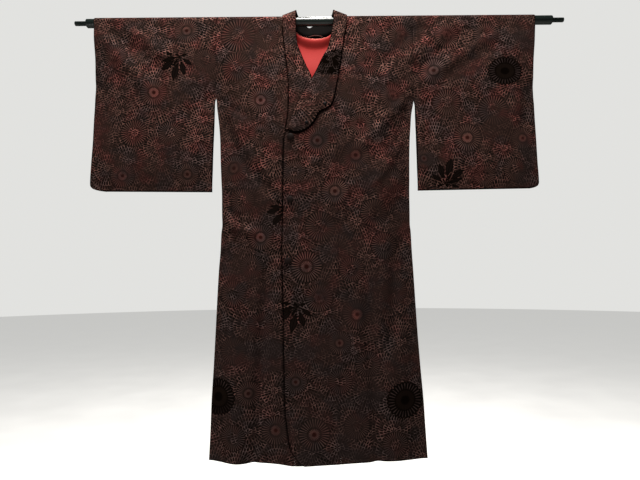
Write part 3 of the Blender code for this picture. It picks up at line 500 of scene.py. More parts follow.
BACK_MOTIFS = table(MOTIF,
    (0.150, -0.320, 0.050, 0.050, MEDALLION, 0.0), (-0.120, -0.900, 0.050, 0.050, MEDALLION, 0.0),
    (-0.480, -0.300, 0.046, 0.040, MEDALLION, 0.0), (-0.120, -0.220, 0.045, 0.045, SPRAY, 0.4),
    (0.440, -0.180, 0.045, 0.045, SPRAY, 2.6), (0.160, -0.720, 0.045, 0.045, SPRAY, 0.0),
    (-0.200, -0.600, 0.045, 0.045, SPRAY, 3.4), (0.120, -1.090, 0.045, 0.045, SPRAY, 0.3),
)
COLLAR_MOTIFS = table(MOTIF, (0.058, -0.146, 0.053, 0.053, DARK, 0.0))
COLLAR_PIECE_Z = -0.170         # the upper piece of the collar ends here, with half a medallion
BACK_SHIFT = 0.070              # how far the back's flowers are moved along


def nearest(x, z, chart, width, height):
    """For every vertex: (x - chart.x) / width and (z - chart.z) / height to the charted row that
    these make nearest, and that row itself."""
    across = (x[..., None] - chart[:, 0]) / chart[:, width]
    up_by = (z[..., None] - chart[:, 1]) / chart[:, height]
    best = np.argmin(np.hypot(across, up_by), axis=-1)[..., None]
    across, up_by = [np.take_along_axis(v, best, -1)[..., 0] for v in (across, up_by)]
    return across, up_by, chart[best[..., 0]]


def to_flower(x, z):
    """The way to the nearest flower over its radius, and how strongly its heart glows."""
    across, up_by, row = nearest(x, z, np.array(FLOWERS), 2, 2)
    return np.stack([across, up_by, row[..., 3]], axis=-1)


def to_motif(x, z, motifs):
    """The way to the nearest black motif over its width and height, turned, and its kind."""
    across, up_by, row = nearest(x, z, np.array(motifs), 2, 3)
    c, s = np.cos(row[..., 5]), np.sin(row[..., 5])
    return np.stack([across * c + up_by * s, up_by * c - across * s, row[..., 4]], axis=-1)


def woven(x, v, extra=()):
    """Flower and motif ways for a panel: z = v in front, and z = 2 ARC - v behind."""
    behind = v > ARC
    z = np.where(behind, 2 * ARC - v, v)
    turned_round = to_flower(-x, -HEM_DEPTH - z + BACK_SHIFT)
    in_front = to_motif(x, z, FRONT_MOTIFS + list(extra))
    behind = behind[..., None]
    return (np.where(behind, turned_round, to_flower(x, z)),
            np.where(behind, to_motif(x, z, BACK_MOTIFS), in_front))


print("charted flowers:", len(FLOWERS), "black motifs in front:", len(FRONT_MOTIFS))

# %% [markdown]
# ## A shell from a grid
# Every strip of cloth is one grid of points. The grid is given its flat measurements as a UV map,
# its ways to the motifs and its distance to an edge as attributes, and then its thickness. Shells
# and solid pieces alike ride on the frame's one body and take the place of its plain nodes.

# %% Shell maker
Cut = namedtuple("Cut", "piece width length area")
CUTS = {}


def add_piece(name, mesh, finishes, nodes):
    """An object with its finishes that rides on the frame in place of the nodes it stands for."""
    mesh.shade_smooth()
    for finish in finishes:
        mesh.materials.append(finish)
    obj = bpy.data.objects.new(name, mesh)
    bpy.context.scene.collection.objects.link(obj)
    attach(obj, "root")
    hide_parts(*nodes)
    return obj


def shell(name, points, x, v, ways, to_edge, finishes, nodes, thickness=CLOTH):
    """A grid of quads through `points` (rows, columns, 3), thickened by a Solidify modifier that
    puts half of `thickness` on either side. `to_edge` is the distance to the nearest edge, and
    `finishes` are those of the right side and, where it differs, of the wrong side."""
    rows, columns = points.shape[:2]
    index = np.arange(rows * columns).reshape(rows, columns)
    corners = [index[:-1, :-1], index[:-1, 1:], index[1:, 1:], index[1:, :-1]]
    faces = np.stack(corners, -1).reshape(-1, 4)
    if np.cross(points[0, 1] - points[0, 0], points[1, 0] - points[0, 0])[1] > 0:
        faces = faces[:, ::-1]  # the right side of the first cell always looks forward
    mesh = bpy.data.meshes.new(name)
    mesh.from_pydata(points.reshape(-1, 3) + np.array([COAT_X, 0.0, 0.0]), [], faces)

    flat = np.stack(np.broadcast_arrays(x, v, points[..., 0])[:2], -1)
    spread = mesh.uv_layers.new(name="flat")
    spread.data.foreach_set("uv", flat.reshape(-1, 2)[faces.reshape(-1)].astype(np.float32).reshape(-1))
    for key, way in zip(("flower", "motif"), ways):
        stored = mesh.attributes.new(key, "FLOAT_VECTOR", "POINT")
        stored.data.foreach_set("vector", way.astype(np.float32).reshape(-1))
    stored = mesh.attributes.new("seam", "FLOAT", "POINT")
    distance = np.broadcast_to(to_edge, (rows, columns))
    stored.data.foreach_set("value", distance.astype(np.float32).reshape(-1))

    obj = add_piece(name, mesh, finishes, nodes)
    solid = obj.modifiers.new("thickness", "SOLIDIFY")
    solid.thickness = thickness
    solid.offset = 0.0
    solid.use_quality_normals = True
    solid.material_offset = len(finishes) - 1

    width, length = np.ptp(flat.reshape(-1, 2), axis=0)
    down, over = flat[1:, 1:] - flat[:-1, :-1], flat[1:, :-1] - flat[:-1, 1:]
    area = np.abs(down[..., 0] * over[..., 1] - down[..., 1] * over[..., 0]).sum() / 2
    CUTS[name] = Cut(obj, float(width), float(length), float(area))
    print(f"{name}: {rows} x {columns} points, cut {width:.3f} x {length:.3f} m, {area:.3f} square metres")


def places(*runs):
    """Places along a line: each run is (start, end, spacing), and runs meet at their ends."""
    parts = [np.linspace(a, b, max(int(round(abs(b - a) / d)), 1) + 1)[:-1] for a, b, d in runs]
    return np.concatenate(parts + [[runs[-1][1]]])


CELL = 0.0045
EDGE = 0.006                    # finer columns within this distance of an edge
EDGE_CELL = 0.0015
TROUGH, TROUGH_WIDTH = 0.0007, 0.0022


def columns_for(width):
    """Parts from 0 to 1 across a strip of that width, finer close to both edges."""
    runs = (0.0, EDGE, EDGE_CELL), (EDGE, width - EDGE, CELL), (width - EDGE, width, EDGE_CELL)
    return places(*runs)[None, :] / width


def drawn_in(depth, distance):
    """That depth function less TROUGH times exp of minus (distance / TROUGH_WIDTH) squared, but
    never so deep that the layers of front and back would meet."""
    low = CLOTH / 2 + SEAM_GAP / 2
    trough = TROUGH * np.exp(-(distance / TROUGH_WIDTH) ** 2)

    def dipped(x, z):
        plain_depth = depth(x, z)
        return np.maximum(plain_depth - trough, np.minimum(plain_depth, low))

    return dipped


print("columns across a body strip:", columns_for(BODY_SIDE[0].left - OVERLAP_SEAM_X).size)

# %% [markdown]
# ## Helpers for shader nodes
# A material is a tree of small nodes. Writing one in Python is long-winded, so this class gives each
# kind of node one short call. A node group is a part of a tree with its own named inputs and
# outputs. Here each group makes one drawing, and its input Way is the way from that drawing's middle.

# %% Node helpers
class Graph:
    """A node tree with one short call for each kind of node."""

    def __init__(self, tree):
        self.tree = tree

    def node(self, kind, **settings):
        made = self.tree.nodes.new(kind)
        for key, value in settings.items():
            setattr(made, key, value)
        return made

    def put(self, sockets, *values):
        """Links or sets each of the sockets in turn."""
        for socket, value in zip(sockets, values):
            if isinstance(value, bpy.types.NodeSocket):
                self.tree.links.new(value, socket)
            else:
                socket.default_value = value

    def feed(self, sockets, **values):
        """Links or sets sockets by their names, in which an underscore stands for a space."""
        for key, value in values.items():
            self.put([sockets[key.replace("_", " ")]], value)

    def math(self, operation, *values, clamp=False):
        made = self.node("ShaderNodeMath", operation=operation, use_clamp=clamp)
        self.put(made.inputs, *values)
        return made.outputs[0]

    def times(self, *values):
        """The product of all the values."""
        product = values[0]
        for value in values[1:]:
            product = self.math("MULTIPLY", product, value)
        return product

    def plus(self, first, second, clamp=False):
        return self.math("ADD", first, second, clamp=clamp)

    def minus(self, first, second, clamp=False):
        return self.math("SUBTRACT", first, second, clamp=clamp)

    def over(self, first, second, clamp=False):
        return self.math("DIVIDE", first, second, clamp=clamp)

    def vector(self, operation, *values):
        made = self.node("ShaderNodeVectorMath", operation=operation)
        self.put(made.inputs, *values)
        return made.outputs["Value" if operation == "LENGTH" else "Vector"]

    def parts(self, vector):
        """The vector's x, y and z."""
        made = self.node("ShaderNodeSeparateXYZ")
        self.put(made.inputs, vector)
        return made.outputs

    def polar(self, way):
        """How far away the middle is, and the angle round it."""
        x, y, _ = self.parts(way)
        radius = self.vector("LENGTH", self.vector("MULTIPLY", way, (1.0, 1.0, 0.0)))
        return radius, self.math("ARCTAN2", y, x)

    def off_middle(self, value):
        """How far the fraction of the value is from one half."""
        return self.math("ABSOLUTE", self.minus(self.math("FRACT", value), 0.5))

    def ramp(self, value, low, high, start=0.0, end=1.0):
        """Smoothly from start at low to end at high."""
        made = self.node("ShaderNodeMapRange", interpolation_type="SMOOTHSTEP")
        self.put(made.inputs, value, low, high, start, end)
        return made.outputs[0]

    def fall(self, value, full, gone):
        """Smoothly from 1 at full down to 0 at gone."""
        return self.ramp(value, full, gone, 1.0, 0.0)

    def band(self, value, rise, full, fall, gone):
        """0 up to rise, 1 from full to fall, and 0 again from gone on."""
        return self.times(self.ramp(value, rise, full), self.fall(value, fall, gone))

    def mix(self, factor, first, second):
        made = self.node("ShaderNodeMix", data_type="RGBA")
        self.put((made.inputs[0], made.inputs[6], made.inputs[7]), factor, first, second)
        return made.outputs[2]

    def noise(self, vector, scale, detail=2.0, output="Fac"):
        made = self.node("ShaderNodeTexNoise")
        self.feed(made.inputs, Vector=vector, Scale=scale, Detail=detail)
        return made.outputs[output]

    def stored(self, name, output="Vector"):
        """What the mesh stores at each vertex under that name."""
        return self.node("ShaderNodeAttribute", attribute_name=name).outputs[output]

    def bump(self, height, strength, distance):
        made = self.node("ShaderNodeBump")
        self.feed(made.inputs, Height=height, Strength=strength, Distance=distance)
        return made.outputs["Normal"]

    def use(self, group, **values):
        """The outputs of a node group that is placed with those values."""
        made = self.node("ShaderNodeGroup", node_tree=group)
        self.feed(made.inputs, **values)
        return made.outputs


def new_group(name, sizes, masks):
    """An empty node group with the vector Way and the numbers `sizes` in, and `masks` out."""
    tree = bpy.data.node_groups.new(name, "ShaderNodeTree")
    tree.interface.new_socket("Way", in_out="INPUT", socket_type="NodeSocketVector")
    for key in sizes:
        tree.interface.new_socket(key, in_out="INPUT", socket_type="NodeSocketFloat")
    for key in masks:
        tree.interface.new_socket(key, in_out="OUTPUT", socket_type="NodeSocketFloat")
    graph = Graph(tree)
    return graph, graph.node("NodeGroupInput").outputs, graph.node("NodeGroupOutput").inputs


print("calls of Graph:", [name for name in vars(Graph) if not name.startswith("_")])

# %% [markdown]
# ## Filling petals
# Small petals fill the ground between the flowers. They are drawn round a middle: the distance from
# it is cut into rings, and each ring into petals of about one width. A petal's outline is the curve
# across squared plus along cubed = 1, which rounds over at the tip. How far that sum is from 1,
# divided by how steeply it changes, is the distance to the outline, so the line has an even width.

# %% Petals
graph, given, out = new_group("petals", ["Ring", "Petal", "Line"], ["Stroke", "Chance"])
radius, angle = graph.polar(given["Way"])
ring = graph.over(radius, given["Ring"])
number = graph.math("FLOOR", ring)
along = graph.math("FRACT", ring)
middle = graph.times(graph.plus(number, 0.7), given["Ring"])
count = graph.math("ROUND", graph.over(graph.times(middle, 2 * pi), given["Petal"]))
count = graph.math("MAXIMUM", count, 5.0)
round_by = graph.plus(graph.times(graph.over(angle, 2 * pi), count), graph.times(number, 0.5))
across = graph.times(graph.off_middle(round_by), 2.0)
bulge = graph.plus(graph.times(across, across), graph.math("POWER", along, 3.0))
steep_across = graph.over(graph.times(across, 4.0), given["Petal"])
steep_along = graph.over(graph.times(along, along, 3.0), given["Ring"])
steep = graph.plus(graph.times(steep_across, steep_across), graph.times(steep_along, steep_along))
steep = graph.math("MAXIMUM", graph.math("SQRT", steep), 1.0)
off_line = graph.over(graph.math("ABSOLUTE", graph.minus(bulge, 1.0)), steep)
thin, wide = graph.times(given["Line"], 0.2), graph.times(given["Line"], 0.8)
which = graph.node("ShaderNodeCombineXYZ")
graph.put(which.inputs, number, graph.math("FLOOR", round_by), count)
chance = graph.node("ShaderNodeTexWhiteNoise", noise_dimensions="3D")
graph.put(chance.inputs, which.outputs[0])
graph.feed(out, Stroke=graph.fall(off_line, thin, wide), Chance=chance.outputs["Value"])
petals = graph.tree
print("petals:", len(petals.nodes), "nodes")

# %% [markdown]
# ## A charted flower
# A chrysanthemum is seen from above: an outer ring of thin strokes, an inner ring of thick ones, a
# bright heart and a dark eye. Where its glow is weak, the middle stays open and shows the filling.

# %% Flower
INNER_STROKES = 19.0
graph, given, out = new_group("flower", ["Strokes", "Glow"], ["Disc", "Stroke", "Heart", "Eye"])
radius, angle = graph.polar(given["Way"])
angle = graph.over(angle, 2 * pi)
glow = given["Glow"]
thin = graph.fall(graph.off_middle(graph.times(angle, given["Strokes"])), 0.10, 0.26)
thick = graph.ramp(graph.off_middle(graph.times(angle, INNER_STROKES)), 0.14, 0.40, 1.0, 0.10)
outer = graph.times(thin, graph.band(radius, 0.36, 0.56, 0.90, 1.00), graph.ramp(glow, 0.1, 0.8, 0.45, 0.65))
inner = graph.times(thick, graph.band(radius, 0.10, 0.20, 0.28, 0.42), graph.ramp(glow, 0.1, 1.0, 0.18, 0.85))
closed = graph.math("MAXIMUM", graph.ramp(radius, 0.38, 0.50), graph.ramp(glow, 0.25, 0.50))
heart = graph.times(graph.fall(radius, 0.18, 0.42), thick)
graph.feed(out, Disc=graph.times(graph.fall(radius, 0.97, 1.05), closed),
           Stroke=graph.math("MAXIMUM", outer, inner),
           Heart=graph.times(heart, graph.math("POWER", glow, 2.0)),
           Eye=graph.times(graph.fall(radius, 0.07, 0.17), graph.ramp(glow, 0.25, 0.60)))
flower_group = graph.tree
print("flower:", len(flower_group.nodes), "nodes")

# %% [markdown]
# ## Leaves
# A leaf is a lens on a turned axis: its half width is the sine of pi times (part along it) to the
# power 1.2, times Width. A stem runs from the root to its start. A spray is nine such leaves from
# one root, black with a faint light inside.

# %% Leaf and spray
graph, given, out = new_group("leaf", ["Turn", "Start", "Length", "Width"], ["Leaf", "Inside"])
spin = graph.node("ShaderNodeVectorRotate", rotation_type="Z_AXIS")
graph.feed(spin.inputs, Vector=given["Way"], Angle=graph.times(given["Turn"], -1.0))
from_root, off_axis, _ = graph.parts(spin.outputs[0])
past_start = graph.minus(from_root, given["Start"])
along = graph.over(past_start, graph.minus(given["Length"], given["Start"]), clamp=True)
lens = graph.math("SINE", graph.times(graph.math("POWER", along, 1.2), pi))
beside = graph.math("ABSOLUTE", off_axis)
inward = graph.minus(graph.times(lens, given["Width"]), beside)
after_root = graph.math("GREATER_THAN", from_root, 0.0)
before_start = graph.math("LESS_THAN", from_root, given["Start"])
stem = graph.times(after_root, before_start, graph.fall(beside, 0.010, 0.030))
graph.feed(out, Leaf=graph.math("MAXIMUM", graph.ramp(inward, -0.015, 0.015), stem),
           Inside=graph.times(graph.ramp(inward, 0.035, 0.060), graph.ramp(beside, 0.008, 0.022)))
leaf = graph.tree

ROOT = (0.10, 0.48, 0.0)
LEAVES = table("turn start length width",
    (3.43, 0.06, 1.14, 0.120), (2.91, 0.42, 0.88, 0.090), (3.78, 0.36, 1.40, 0.180),
    (4.45, 0.38, 1.56, 0.215), (4.98, 0.28, 1.22, 0.180), (5.65, 0.16, 0.95, 0.135),
    (0.33, 0.05, 0.48, 0.080), (2.55, 0.00, 0.30, 0.070), (4.12, 0.14, 0.70, 0.080),
)
graph, given, out = new_group("spray", [], ["Leaf", "Inside"])
moved = graph.vector("SUBTRACT", given["Way"], ROOT)
masks = {"Leaf": 0.0, "Inside": 0.0}
for row in LEAVES:
    one = graph.use(leaf, Way=moved, Turn=row.turn, Start=row.start, Length=row.length, Width=row.width)
    masks = {key: graph.math("MAXIMUM", mask, one[key]) for key, mask in masks.items()}
graph.feed(out, **masks)
spray = graph.tree
print("leaves in a spray:", len(LEAVES))

# %% [markdown]
# ## A medallion
# It is a ring of black petals, each with a light stroke down its middle, round a ring of brown ones
# and a black heart. Between the petals its rim is cut in a little.

# %% Medallion
MEDALLION_PETALS = 30
graph, given, out = new_group("medallion", [], ["Disc", "Light", "Brown", "Heart"])
radius, angle = graph.polar(given["Way"])
off_spoke = graph.off_middle(graph.times(angle, MEDALLION_PETALS / (2 * pi)))
reach = graph.minus(1.0, graph.times(graph.math("POWER", off_spoke, 2.0), 0.35))
brown = graph.ramp(off_spoke, 0.10, 0.45, 1.0, 0.45)
graph.feed(out, Disc=graph.ramp(graph.minus(reach, radius), 0.0, 0.03),
           Light=graph.times(graph.band(radius, 0.54, 0.62, 0.84, 0.93), graph.fall(off_spoke, 0.08, 0.22)),
           Brown=graph.times(graph.band(radius, 0.20, 0.28, 0.46, 0.56), brown),
           Heart=graph.fall(radius, 0.14, 0.22))
medallion = graph.tree
print("node groups:", [group.name for group in bpy.data.node_groups])

# %% [markdown]
# ## Threads of the silk
# The ground is a very dark maroon silk, and the petals are woven in a pinkish tan thread that
# catches the light. The thread's colour changes a little from place to place, as it does in silk that
# was dyed before weaving. Towards the hem it is made greyer, less red and dimmer: painted shade,
# where less of the light from above reaches. A filling petal belongs to its nearest cell of a random
# pattern, and a charted flower covers the filling.

# %% Drawing and colours of the weave
GROUND = (0.0058, 0.0043, 0.0036, 1.0)
GROUND_RED = (0.0090, 0.0044, 0.0037, 1.0)
THREAD = (0.185, 0.092, 0.074, 1.0)
THREAD_RED = (0.255, 0.086, 0.073, 1.0)
THREAD_GREY = (0.124, 0.082, 0.078, 1.0)
BLACK = (0.0026, 0.0016, 0.0011, 1.0)
HEART = (0.200, 0.055, 0.045, 1.0)
EYE = (0.016, 0.005, 0.004, 1.0)
BROWN = (0.0080, 0.0050, 0.0038, 1.0)
RING, PETAL, LINE = 0.0097, 0.0075, 0.0017
CELLS_A_METRE = 13.0
OUTER_STROKES = 32.0


def strokes(graph, flat):
    """The light strokes of all petals, with the outputs of the filling and of the flowers."""
    wobble = graph.vector("SUBTRACT", graph.noise(flat, 28.0, 1.0, "Color"), (0.5, 0.5, 0.5))
    bent = graph.vector("ADD", flat, graph.vector("MULTIPLY", wobble, (0.010, 0.010, 0.0)))
    cells = graph.node("ShaderNodeTexVoronoi", voronoi_dimensions="2D")
    graph.feed(cells.inputs, Vector=bent, Scale=CELLS_A_METRE, Randomness=0.9)
    to_cell = graph.vector("SUBTRACT", bent, cells.outputs["Position"])
    filling = graph.use(petals, Way=to_cell, Ring=RING, Petal=PETAL, Line=LINE)
    charted = graph.stored("flower")
    flower = graph.use(flower_group, Way=charted, Strokes=OUTER_STROKES, Glow=graph.parts(charted)[2])
    glint = graph.ramp(filling["Chance"], 0.0, 1.0, 0.15, 1.15)
    between = graph.times(filling["Stroke"], glint, graph.minus(1.0, flower["Disc"]))
    return graph.plus(between, graph.times(flower["Stroke"], flower["Disc"])), filling, flower


def woven_color(graph, flat, stroke, flower):
    """The weave's colour, how much light thread shows, and how clear the drawing is."""
    fine = graph.noise(flat, 55.0, 2.0)
    # painted shade: towards the hem the thread is greyer, less red and dimmer
    low = graph.ramp(graph.math("ABSOLUTE", graph.parts(flat)[1]), 0.30, 1.15)
    clear = graph.times(graph.ramp(graph.noise(flat, 8.0, 3.0), 0.34, 0.58, 0.25, 1.0),
                        graph.ramp(fine, 0.32, 0.66, 0.50, 1.15))
    blurred = graph.times(graph.minus(1.0, clear, clamp=True), 0.095)
    clear = graph.times(clear, graph.minus(1.0, graph.times(low, 0.24)))
    amount = graph.plus(graph.times(stroke, clear), blurred, clamp=True)
    red = graph.ramp(graph.noise(flat, 17.0, 3.0), 0.44, 0.66)
    red = graph.times(red, graph.minus(1.0, graph.times(low, 0.45)))
    grey = graph.noise(graph.vector("ADD", flat, (3.1, 1.7, 0.0)), 15.0, 3.0)
    grey = graph.plus(graph.ramp(grey, 0.46, 0.64, 0.0, 0.85), graph.times(low, 0.40), clamp=True)
    thread = graph.mix(grey, graph.mix(red, THREAD, THREAD_RED), THREAD_GREY)
    color = graph.mix(amount, graph.mix(red, GROUND, GROUND_RED), thread)
    heart = graph.times(flower["Heart"], graph.ramp(fine, 0.35, 0.65, 0.15, 0.55))
    color = graph.mix(heart, color, HEART)
    return graph.mix(graph.times(flower["Eye"], 0.8), color, EYE), amount, clear


print("petals to a metre of ring:", round(1 / PETAL))

# %% [markdown]
# ## The cloth material
# Black medallions and leaf sprays lie over the weave. Close to an edge the colour darkens by the
# stored distance: painted shade where an edge turns away from the light, and painted shadow on the
# cloth just below an edge that lies on it. The light thread is partly metallic, because silk's
# sheen keeps the thread's own colour.

# %% Cloth material
METAL_SHARE = 0.45              # of the light thread


def with_motifs(graph, color, filling, clear):
    """The colour with the black motifs on it, and how far a motif covers the weave."""
    motif = graph.stored("motif")
    kind = graph.parts(motif)[2]
    kinds = (MEDALLION, SPRAY, DARK)
    is_round, is_spray, is_dark = [graph.math("COMPARE", kind, value, 0.3) for value in kinds]
    disc = graph.use(medallion, Way=motif)
    sprig = graph.use(spray, Way=motif)
    round_color = graph.mix(graph.times(disc["Light"], clear, 0.32), BLACK, THREAD_GREY)
    round_color = graph.mix(disc["Brown"], round_color, BROWN)
    round_color = graph.mix(disc["Heart"], round_color, BLACK)
    speck = graph.times(filling["Stroke"], graph.ramp(filling["Chance"], 0.30, 0.65, 0.0, 0.30))
    round_color = graph.mix(is_dark, round_color, graph.mix(speck, BLACK, THREAD_GREY))
    in_disc = graph.times(disc["Disc"], graph.plus(is_round, is_dark))
    in_leaf = graph.times(sprig["Leaf"], is_spray)
    leaf_color = graph.mix(graph.times(sprig["Inside"], 0.035), BLACK, THREAD_GREY)
    color = graph.mix(in_leaf, graph.mix(in_disc, color, round_color), leaf_color)
    return color, graph.math("MAXIMUM", in_disc, in_leaf)


def new_material(name, roughness, shine):
    """A material with that roughness and that share of plain reflection, and its sockets."""
    made = bpy.data.materials.new(name)
    made.use_nodes = True
    shader = made.node_tree.nodes["Principled BSDF"].inputs
    shader["Roughness"].default_value = roughness
    shader["Specular IOR Level"].default_value = shine
    return made, Graph(made.node_tree), shader


def cloth_material(name):
    """Silk with woven petals, black motifs, painted shade along its edges and a fine weave in its height."""
    made, graph, shader = new_material(name, 0.56, 0.0)
    shader["Specular Tint"].default_value = (1.0, 0.55, 0.45, 1.0)
    flat = graph.node("ShaderNodeUVMap", uv_map="flat").outputs[0]
    stroke, filling, flower = strokes(graph, flat)
    color, amount, clear = woven_color(graph, flat, stroke, flower)
    color, covered_share = with_motifs(graph, color, filling, clear)
    shade = graph.node("ShaderNodeHueSaturation")
    # painted shade: the colour darkens within a few millimetres of an edge, and below an edge that lies on
    # the cloth
    painted_edge_shade = graph.ramp(graph.stored("seam", "Fac"), 0.0002, 0.0028, 0.12, 1.0)
    graph.feed(shade.inputs, Color=color, Value=painted_edge_shade)
    height = graph.plus(graph.times(graph.noise(flat, 900.0, 1.0), 0.5), graph.times(stroke, 0.5))
    graph.feed(shader, Base_Color=shade.outputs["Color"],
               Metallic=graph.times(amount, graph.minus(1.0, covered_share), METAL_SHARE),
               Normal=graph.bump(height, 0.25, 0.0006))
    return made


cloth = cloth_material("cloth")
print("cloth:", len(cloth.node_tree.nodes), "nodes")

# %% [markdown]
# ## Plain finishes
# The other surfaces have one colour with a fine grain: the cloth's wrong side, made near black as
# painted shade for the shaded inside of the coat, the coral lining with a painted highlight along
# its top seam, the loop's cord, the covered buttons, the dark studs and the smooth rod.

# %% Plain finishes
# painted highlight: the lining's top seam is lighter, standing in for light on its roll
SEAM_HIGHLIGHT_FADE = (0.0035, 0.0070)    # where the lining's light seam ends
FLOOR_GLOW = 0.66


def plain(name, color, roughness, grain, bump_height, shine=0.5, edge_painted_highlight=None):
    """A surface with a fine grain in its colour and its height, in the object's own coordinates.
    With an edge_painted_highlight, the colour fades from that over SEAM_HIGHLIGHT_FADE."""
    made, graph, shader = new_material(name, roughness, shine)
    speck = graph.noise(graph.node("ShaderNodeTexCoord").outputs["Object"], grain, 2.0)
    dark, light = (tuple(part * c for c in color) + (1.0,) for part in (0.75, 1.15))
    shown = graph.mix(speck, dark, light)
    # painted highlight along an edge
    if edge_painted_highlight:
        shown = graph.mix(graph.ramp(graph.stored("seam", "Fac"), *SEAM_HIGHLIGHT_FADE), edge_painted_highlight + (1.0,), shown)
    graph.feed(shader, Base_Color=shown, Normal=graph.bump(speck, 0.3, bump_height))
    return made


# painted shade: the cloth's wrong side is made near black, for the shaded inside of the collar and the coat
wrong_side = plain("cloth_wrong_side", (0.0026, 0.0018, 0.0016), 0.90, 900.0, 0.0002, 0.05)
# its lighter top seam is a painted highlight on the roll below the collar
lining = plain("lining", (0.44, 0.030, 0.026), 0.60, 700.0, 0.0003, 0.12, (0.80, 0.20, 0.16))
cord = plain("loop_cord", (0.75, 0.34, 0.30), 0.60, 900.0, 0.0003, 0.20)
covered = plain("covered_button", (0.0110, 0.0064, 0.0055), 0.62, 900.0, 0.0003, 0.05)
stud_finish = plain("press_stud", (0.004, 0.003, 0.003), 0.40, 600.0, 0.0002, 0.10)
rod_finish = plain("rod", (0.008, 0.014, 0.012), 0.30, 40.0, 0.00002)

# the camera sees the floor as pale as the air, while the coat gets only what the floor gives back
pale = plain("floor", (0.80, 0.79, 0.77), 0.8, 3.0, 0.0002)
pale_shader = pale.node_tree.nodes["Principled BSDF"].inputs
pale_shader["Emission Color"].default_value = PALE_AIR
by_ray(pale.node_tree, pale_shader["Emission Strength"], 0.0, FLOOR_GLOW)
floor.data.materials.append(pale)

silk = [cloth, wrong_side]
print("materials:", [m.name for m in bpy.data.materials])

# %% [markdown]
# ## Edges and what lies under them
# A sewn seam is drawn in only a little and gets only a little painted shade. A free edge is turned,
# and as it turns away from the light it gets darker painted shade, with a painted shadow on the
# cloth just below it. Each panel therefore stores a distance to its nearest edge. The collar's
# table comes first, since its outer edge lies on the panels.

# %% Collar table and edges
COLLAR_TURN = table("x_out along x_in y_in z_in",
    (0.0000, 0.0710, 0.0000, 0.0430, 0.0125), (0.0180, 0.0698, 0.0110, 0.0428, 0.0125),
    (0.0360, 0.0655, 0.0220, 0.0418, 0.0130), (0.0560, 0.0520, 0.0340, 0.0370, 0.0155),
    (0.0730, 0.0370, 0.0450, 0.0280, 0.0230), (0.0805, 0.0280, 0.0485, 0.0220, 0.0290),
    (0.0860, 0.0190, 0.0510, 0.0150, 0.0325), (0.0895, 0.0095, 0.0525, 0.0080, 0.0348),
    (0.0915, 0.0000, 0.0530, 0.0010, 0.0350), (0.0920, -0.0080, 0.0533, -0.0065, 0.0315),
    (0.0922, -0.0160, 0.0535, -0.0125, 0.0240), (0.0920, -0.0270, 0.0535, -0.0167, 0.0090),
)
BAND = "x_out z_out x_in z_in"
COLLAR_LEFT = table(BAND,
    (0.0900, -0.022, 0.0520, -0.014), (0.0830, -0.055, 0.0460, -0.050),
    (0.0775, -0.090, 0.0360, -0.088), (0.0735, -0.120, 0.0190, -0.120),
    (0.0685, -0.150, 0.0050, -0.151), (0.0630, -0.180, -0.0090, -0.178),
    (0.0580, -0.205, -0.0210, -0.199), (0.0530, -0.232, -0.0320, -0.218),
    (0.0460, -0.252, -0.0410, -0.234), (0.0310, -0.266, -0.0480, -0.247),
    (0.0140, -0.2735, -0.0530, -0.257), (0.0075, -0.281, -0.0560, -0.263),
    (0.0000, -0.296, -0.0600, -0.272), (-0.0140, -0.314, -0.0650, -0.285),
    (-0.0330, -0.328, -0.0690, -0.297), (-0.0550, -0.333, -0.0730, -0.309),
    (-0.0730, -0.328, -0.0760, -0.318),
)
COLLAR_RIGHT = table(BAND,
    (-0.0920, -0.022, -0.0540, -0.014), (-0.0890, -0.056, -0.0530, -0.045),
    (-0.0860, -0.082, -0.0500, -0.072), (-0.0830, -0.107, -0.0380, -0.107),
    (-0.0790, -0.140, -0.0240, -0.141), (-0.0760, -0.172, -0.0100, -0.173),
    (-0.0745, -0.205, -0.0050, -0.205), (-0.0750, -0.249, -0.0060, -0.247),
    (-0.0775, -0.289, -0.0090, -0.285), (-0.0840, -0.326, -0.0140, -0.318),
)
# painted shade: a sewn seam's distance is raised, so that its painted shade stays light
SEWN = 0.0019                   # added to the distance from a sewn seam, so that it stays lighter
FLAP_START = 8                  # from this row on the collar's outer edge is the flap's free end
LINE_STEP = 0.0015
# a distance counts by its edge's share, and a small share gives a wide line of painted shade
FLAP_SHARE, BAND_SHARE, OVERLAP_SHARE, BOTTOM_SHARE = 0.19, 0.5, 0.34, 0.36


def finer(rows, spacing):
    """Each column of a table, read at even distances along the line between the band's edges."""
    step = np.linalg.norm(np.diff(np.array(rows), axis=0), axis=1)
    station = np.concatenate([[0.0], np.cumsum(step)])
    at = np.linspace(0.0, station[-1], int(station[-1] / spacing) + 1)
    names = rows[0]._fields
    full = table(("station",) + names, *[(s, *row) for s, row in zip(station, rows)])
    return {name: read(full, "station", name, at)[:, None] for name in names}


# painted shadow: these distances darken the panels under the collar, its flap and the overlap's free edge
def below_collar(x, z, rows, free_below=-1.0):
    """The least over the collar's outer edge of: distance times its share, which is the flap's
    below the height free_below."""
    line = finer(rows, LINE_STEP)
    shares = np.where(line["z_out"] < free_below, FLAP_SHARE, BAND_SHARE)
    least = np.full(np.broadcast(x, z).shape, 1.0)
    for px, pz, share in zip(line["x_out"], line["z_out"], shares):
        least = np.minimum(least, share * np.hypot(x - px, z - pz))
    return least


def below_flap(x, z):
    """The same for the left side's collar, which ends in the flap."""
    return below_collar(x, z, COLLAR_LEFT, COLLAR_LEFT[FLAP_START].z_out)


def below_overlap(x, z):
    """Distance from the upper overlap panel's free edge times its share, where that edge runs."""
    away = OVERLAP_SHARE * np.abs(x - read(OVERLAP_EDGE, "z", "x", z))
    return np.where((z < OVERLAP_EDGE[0].z) & (z > OVERLAP_EDGE[-1].z), away, 1.0)


print("collar rows:", len(COLLAR_LEFT), "left,", len(COLLAR_RIGHT), "right,", len(COLLAR_TURN), "behind")

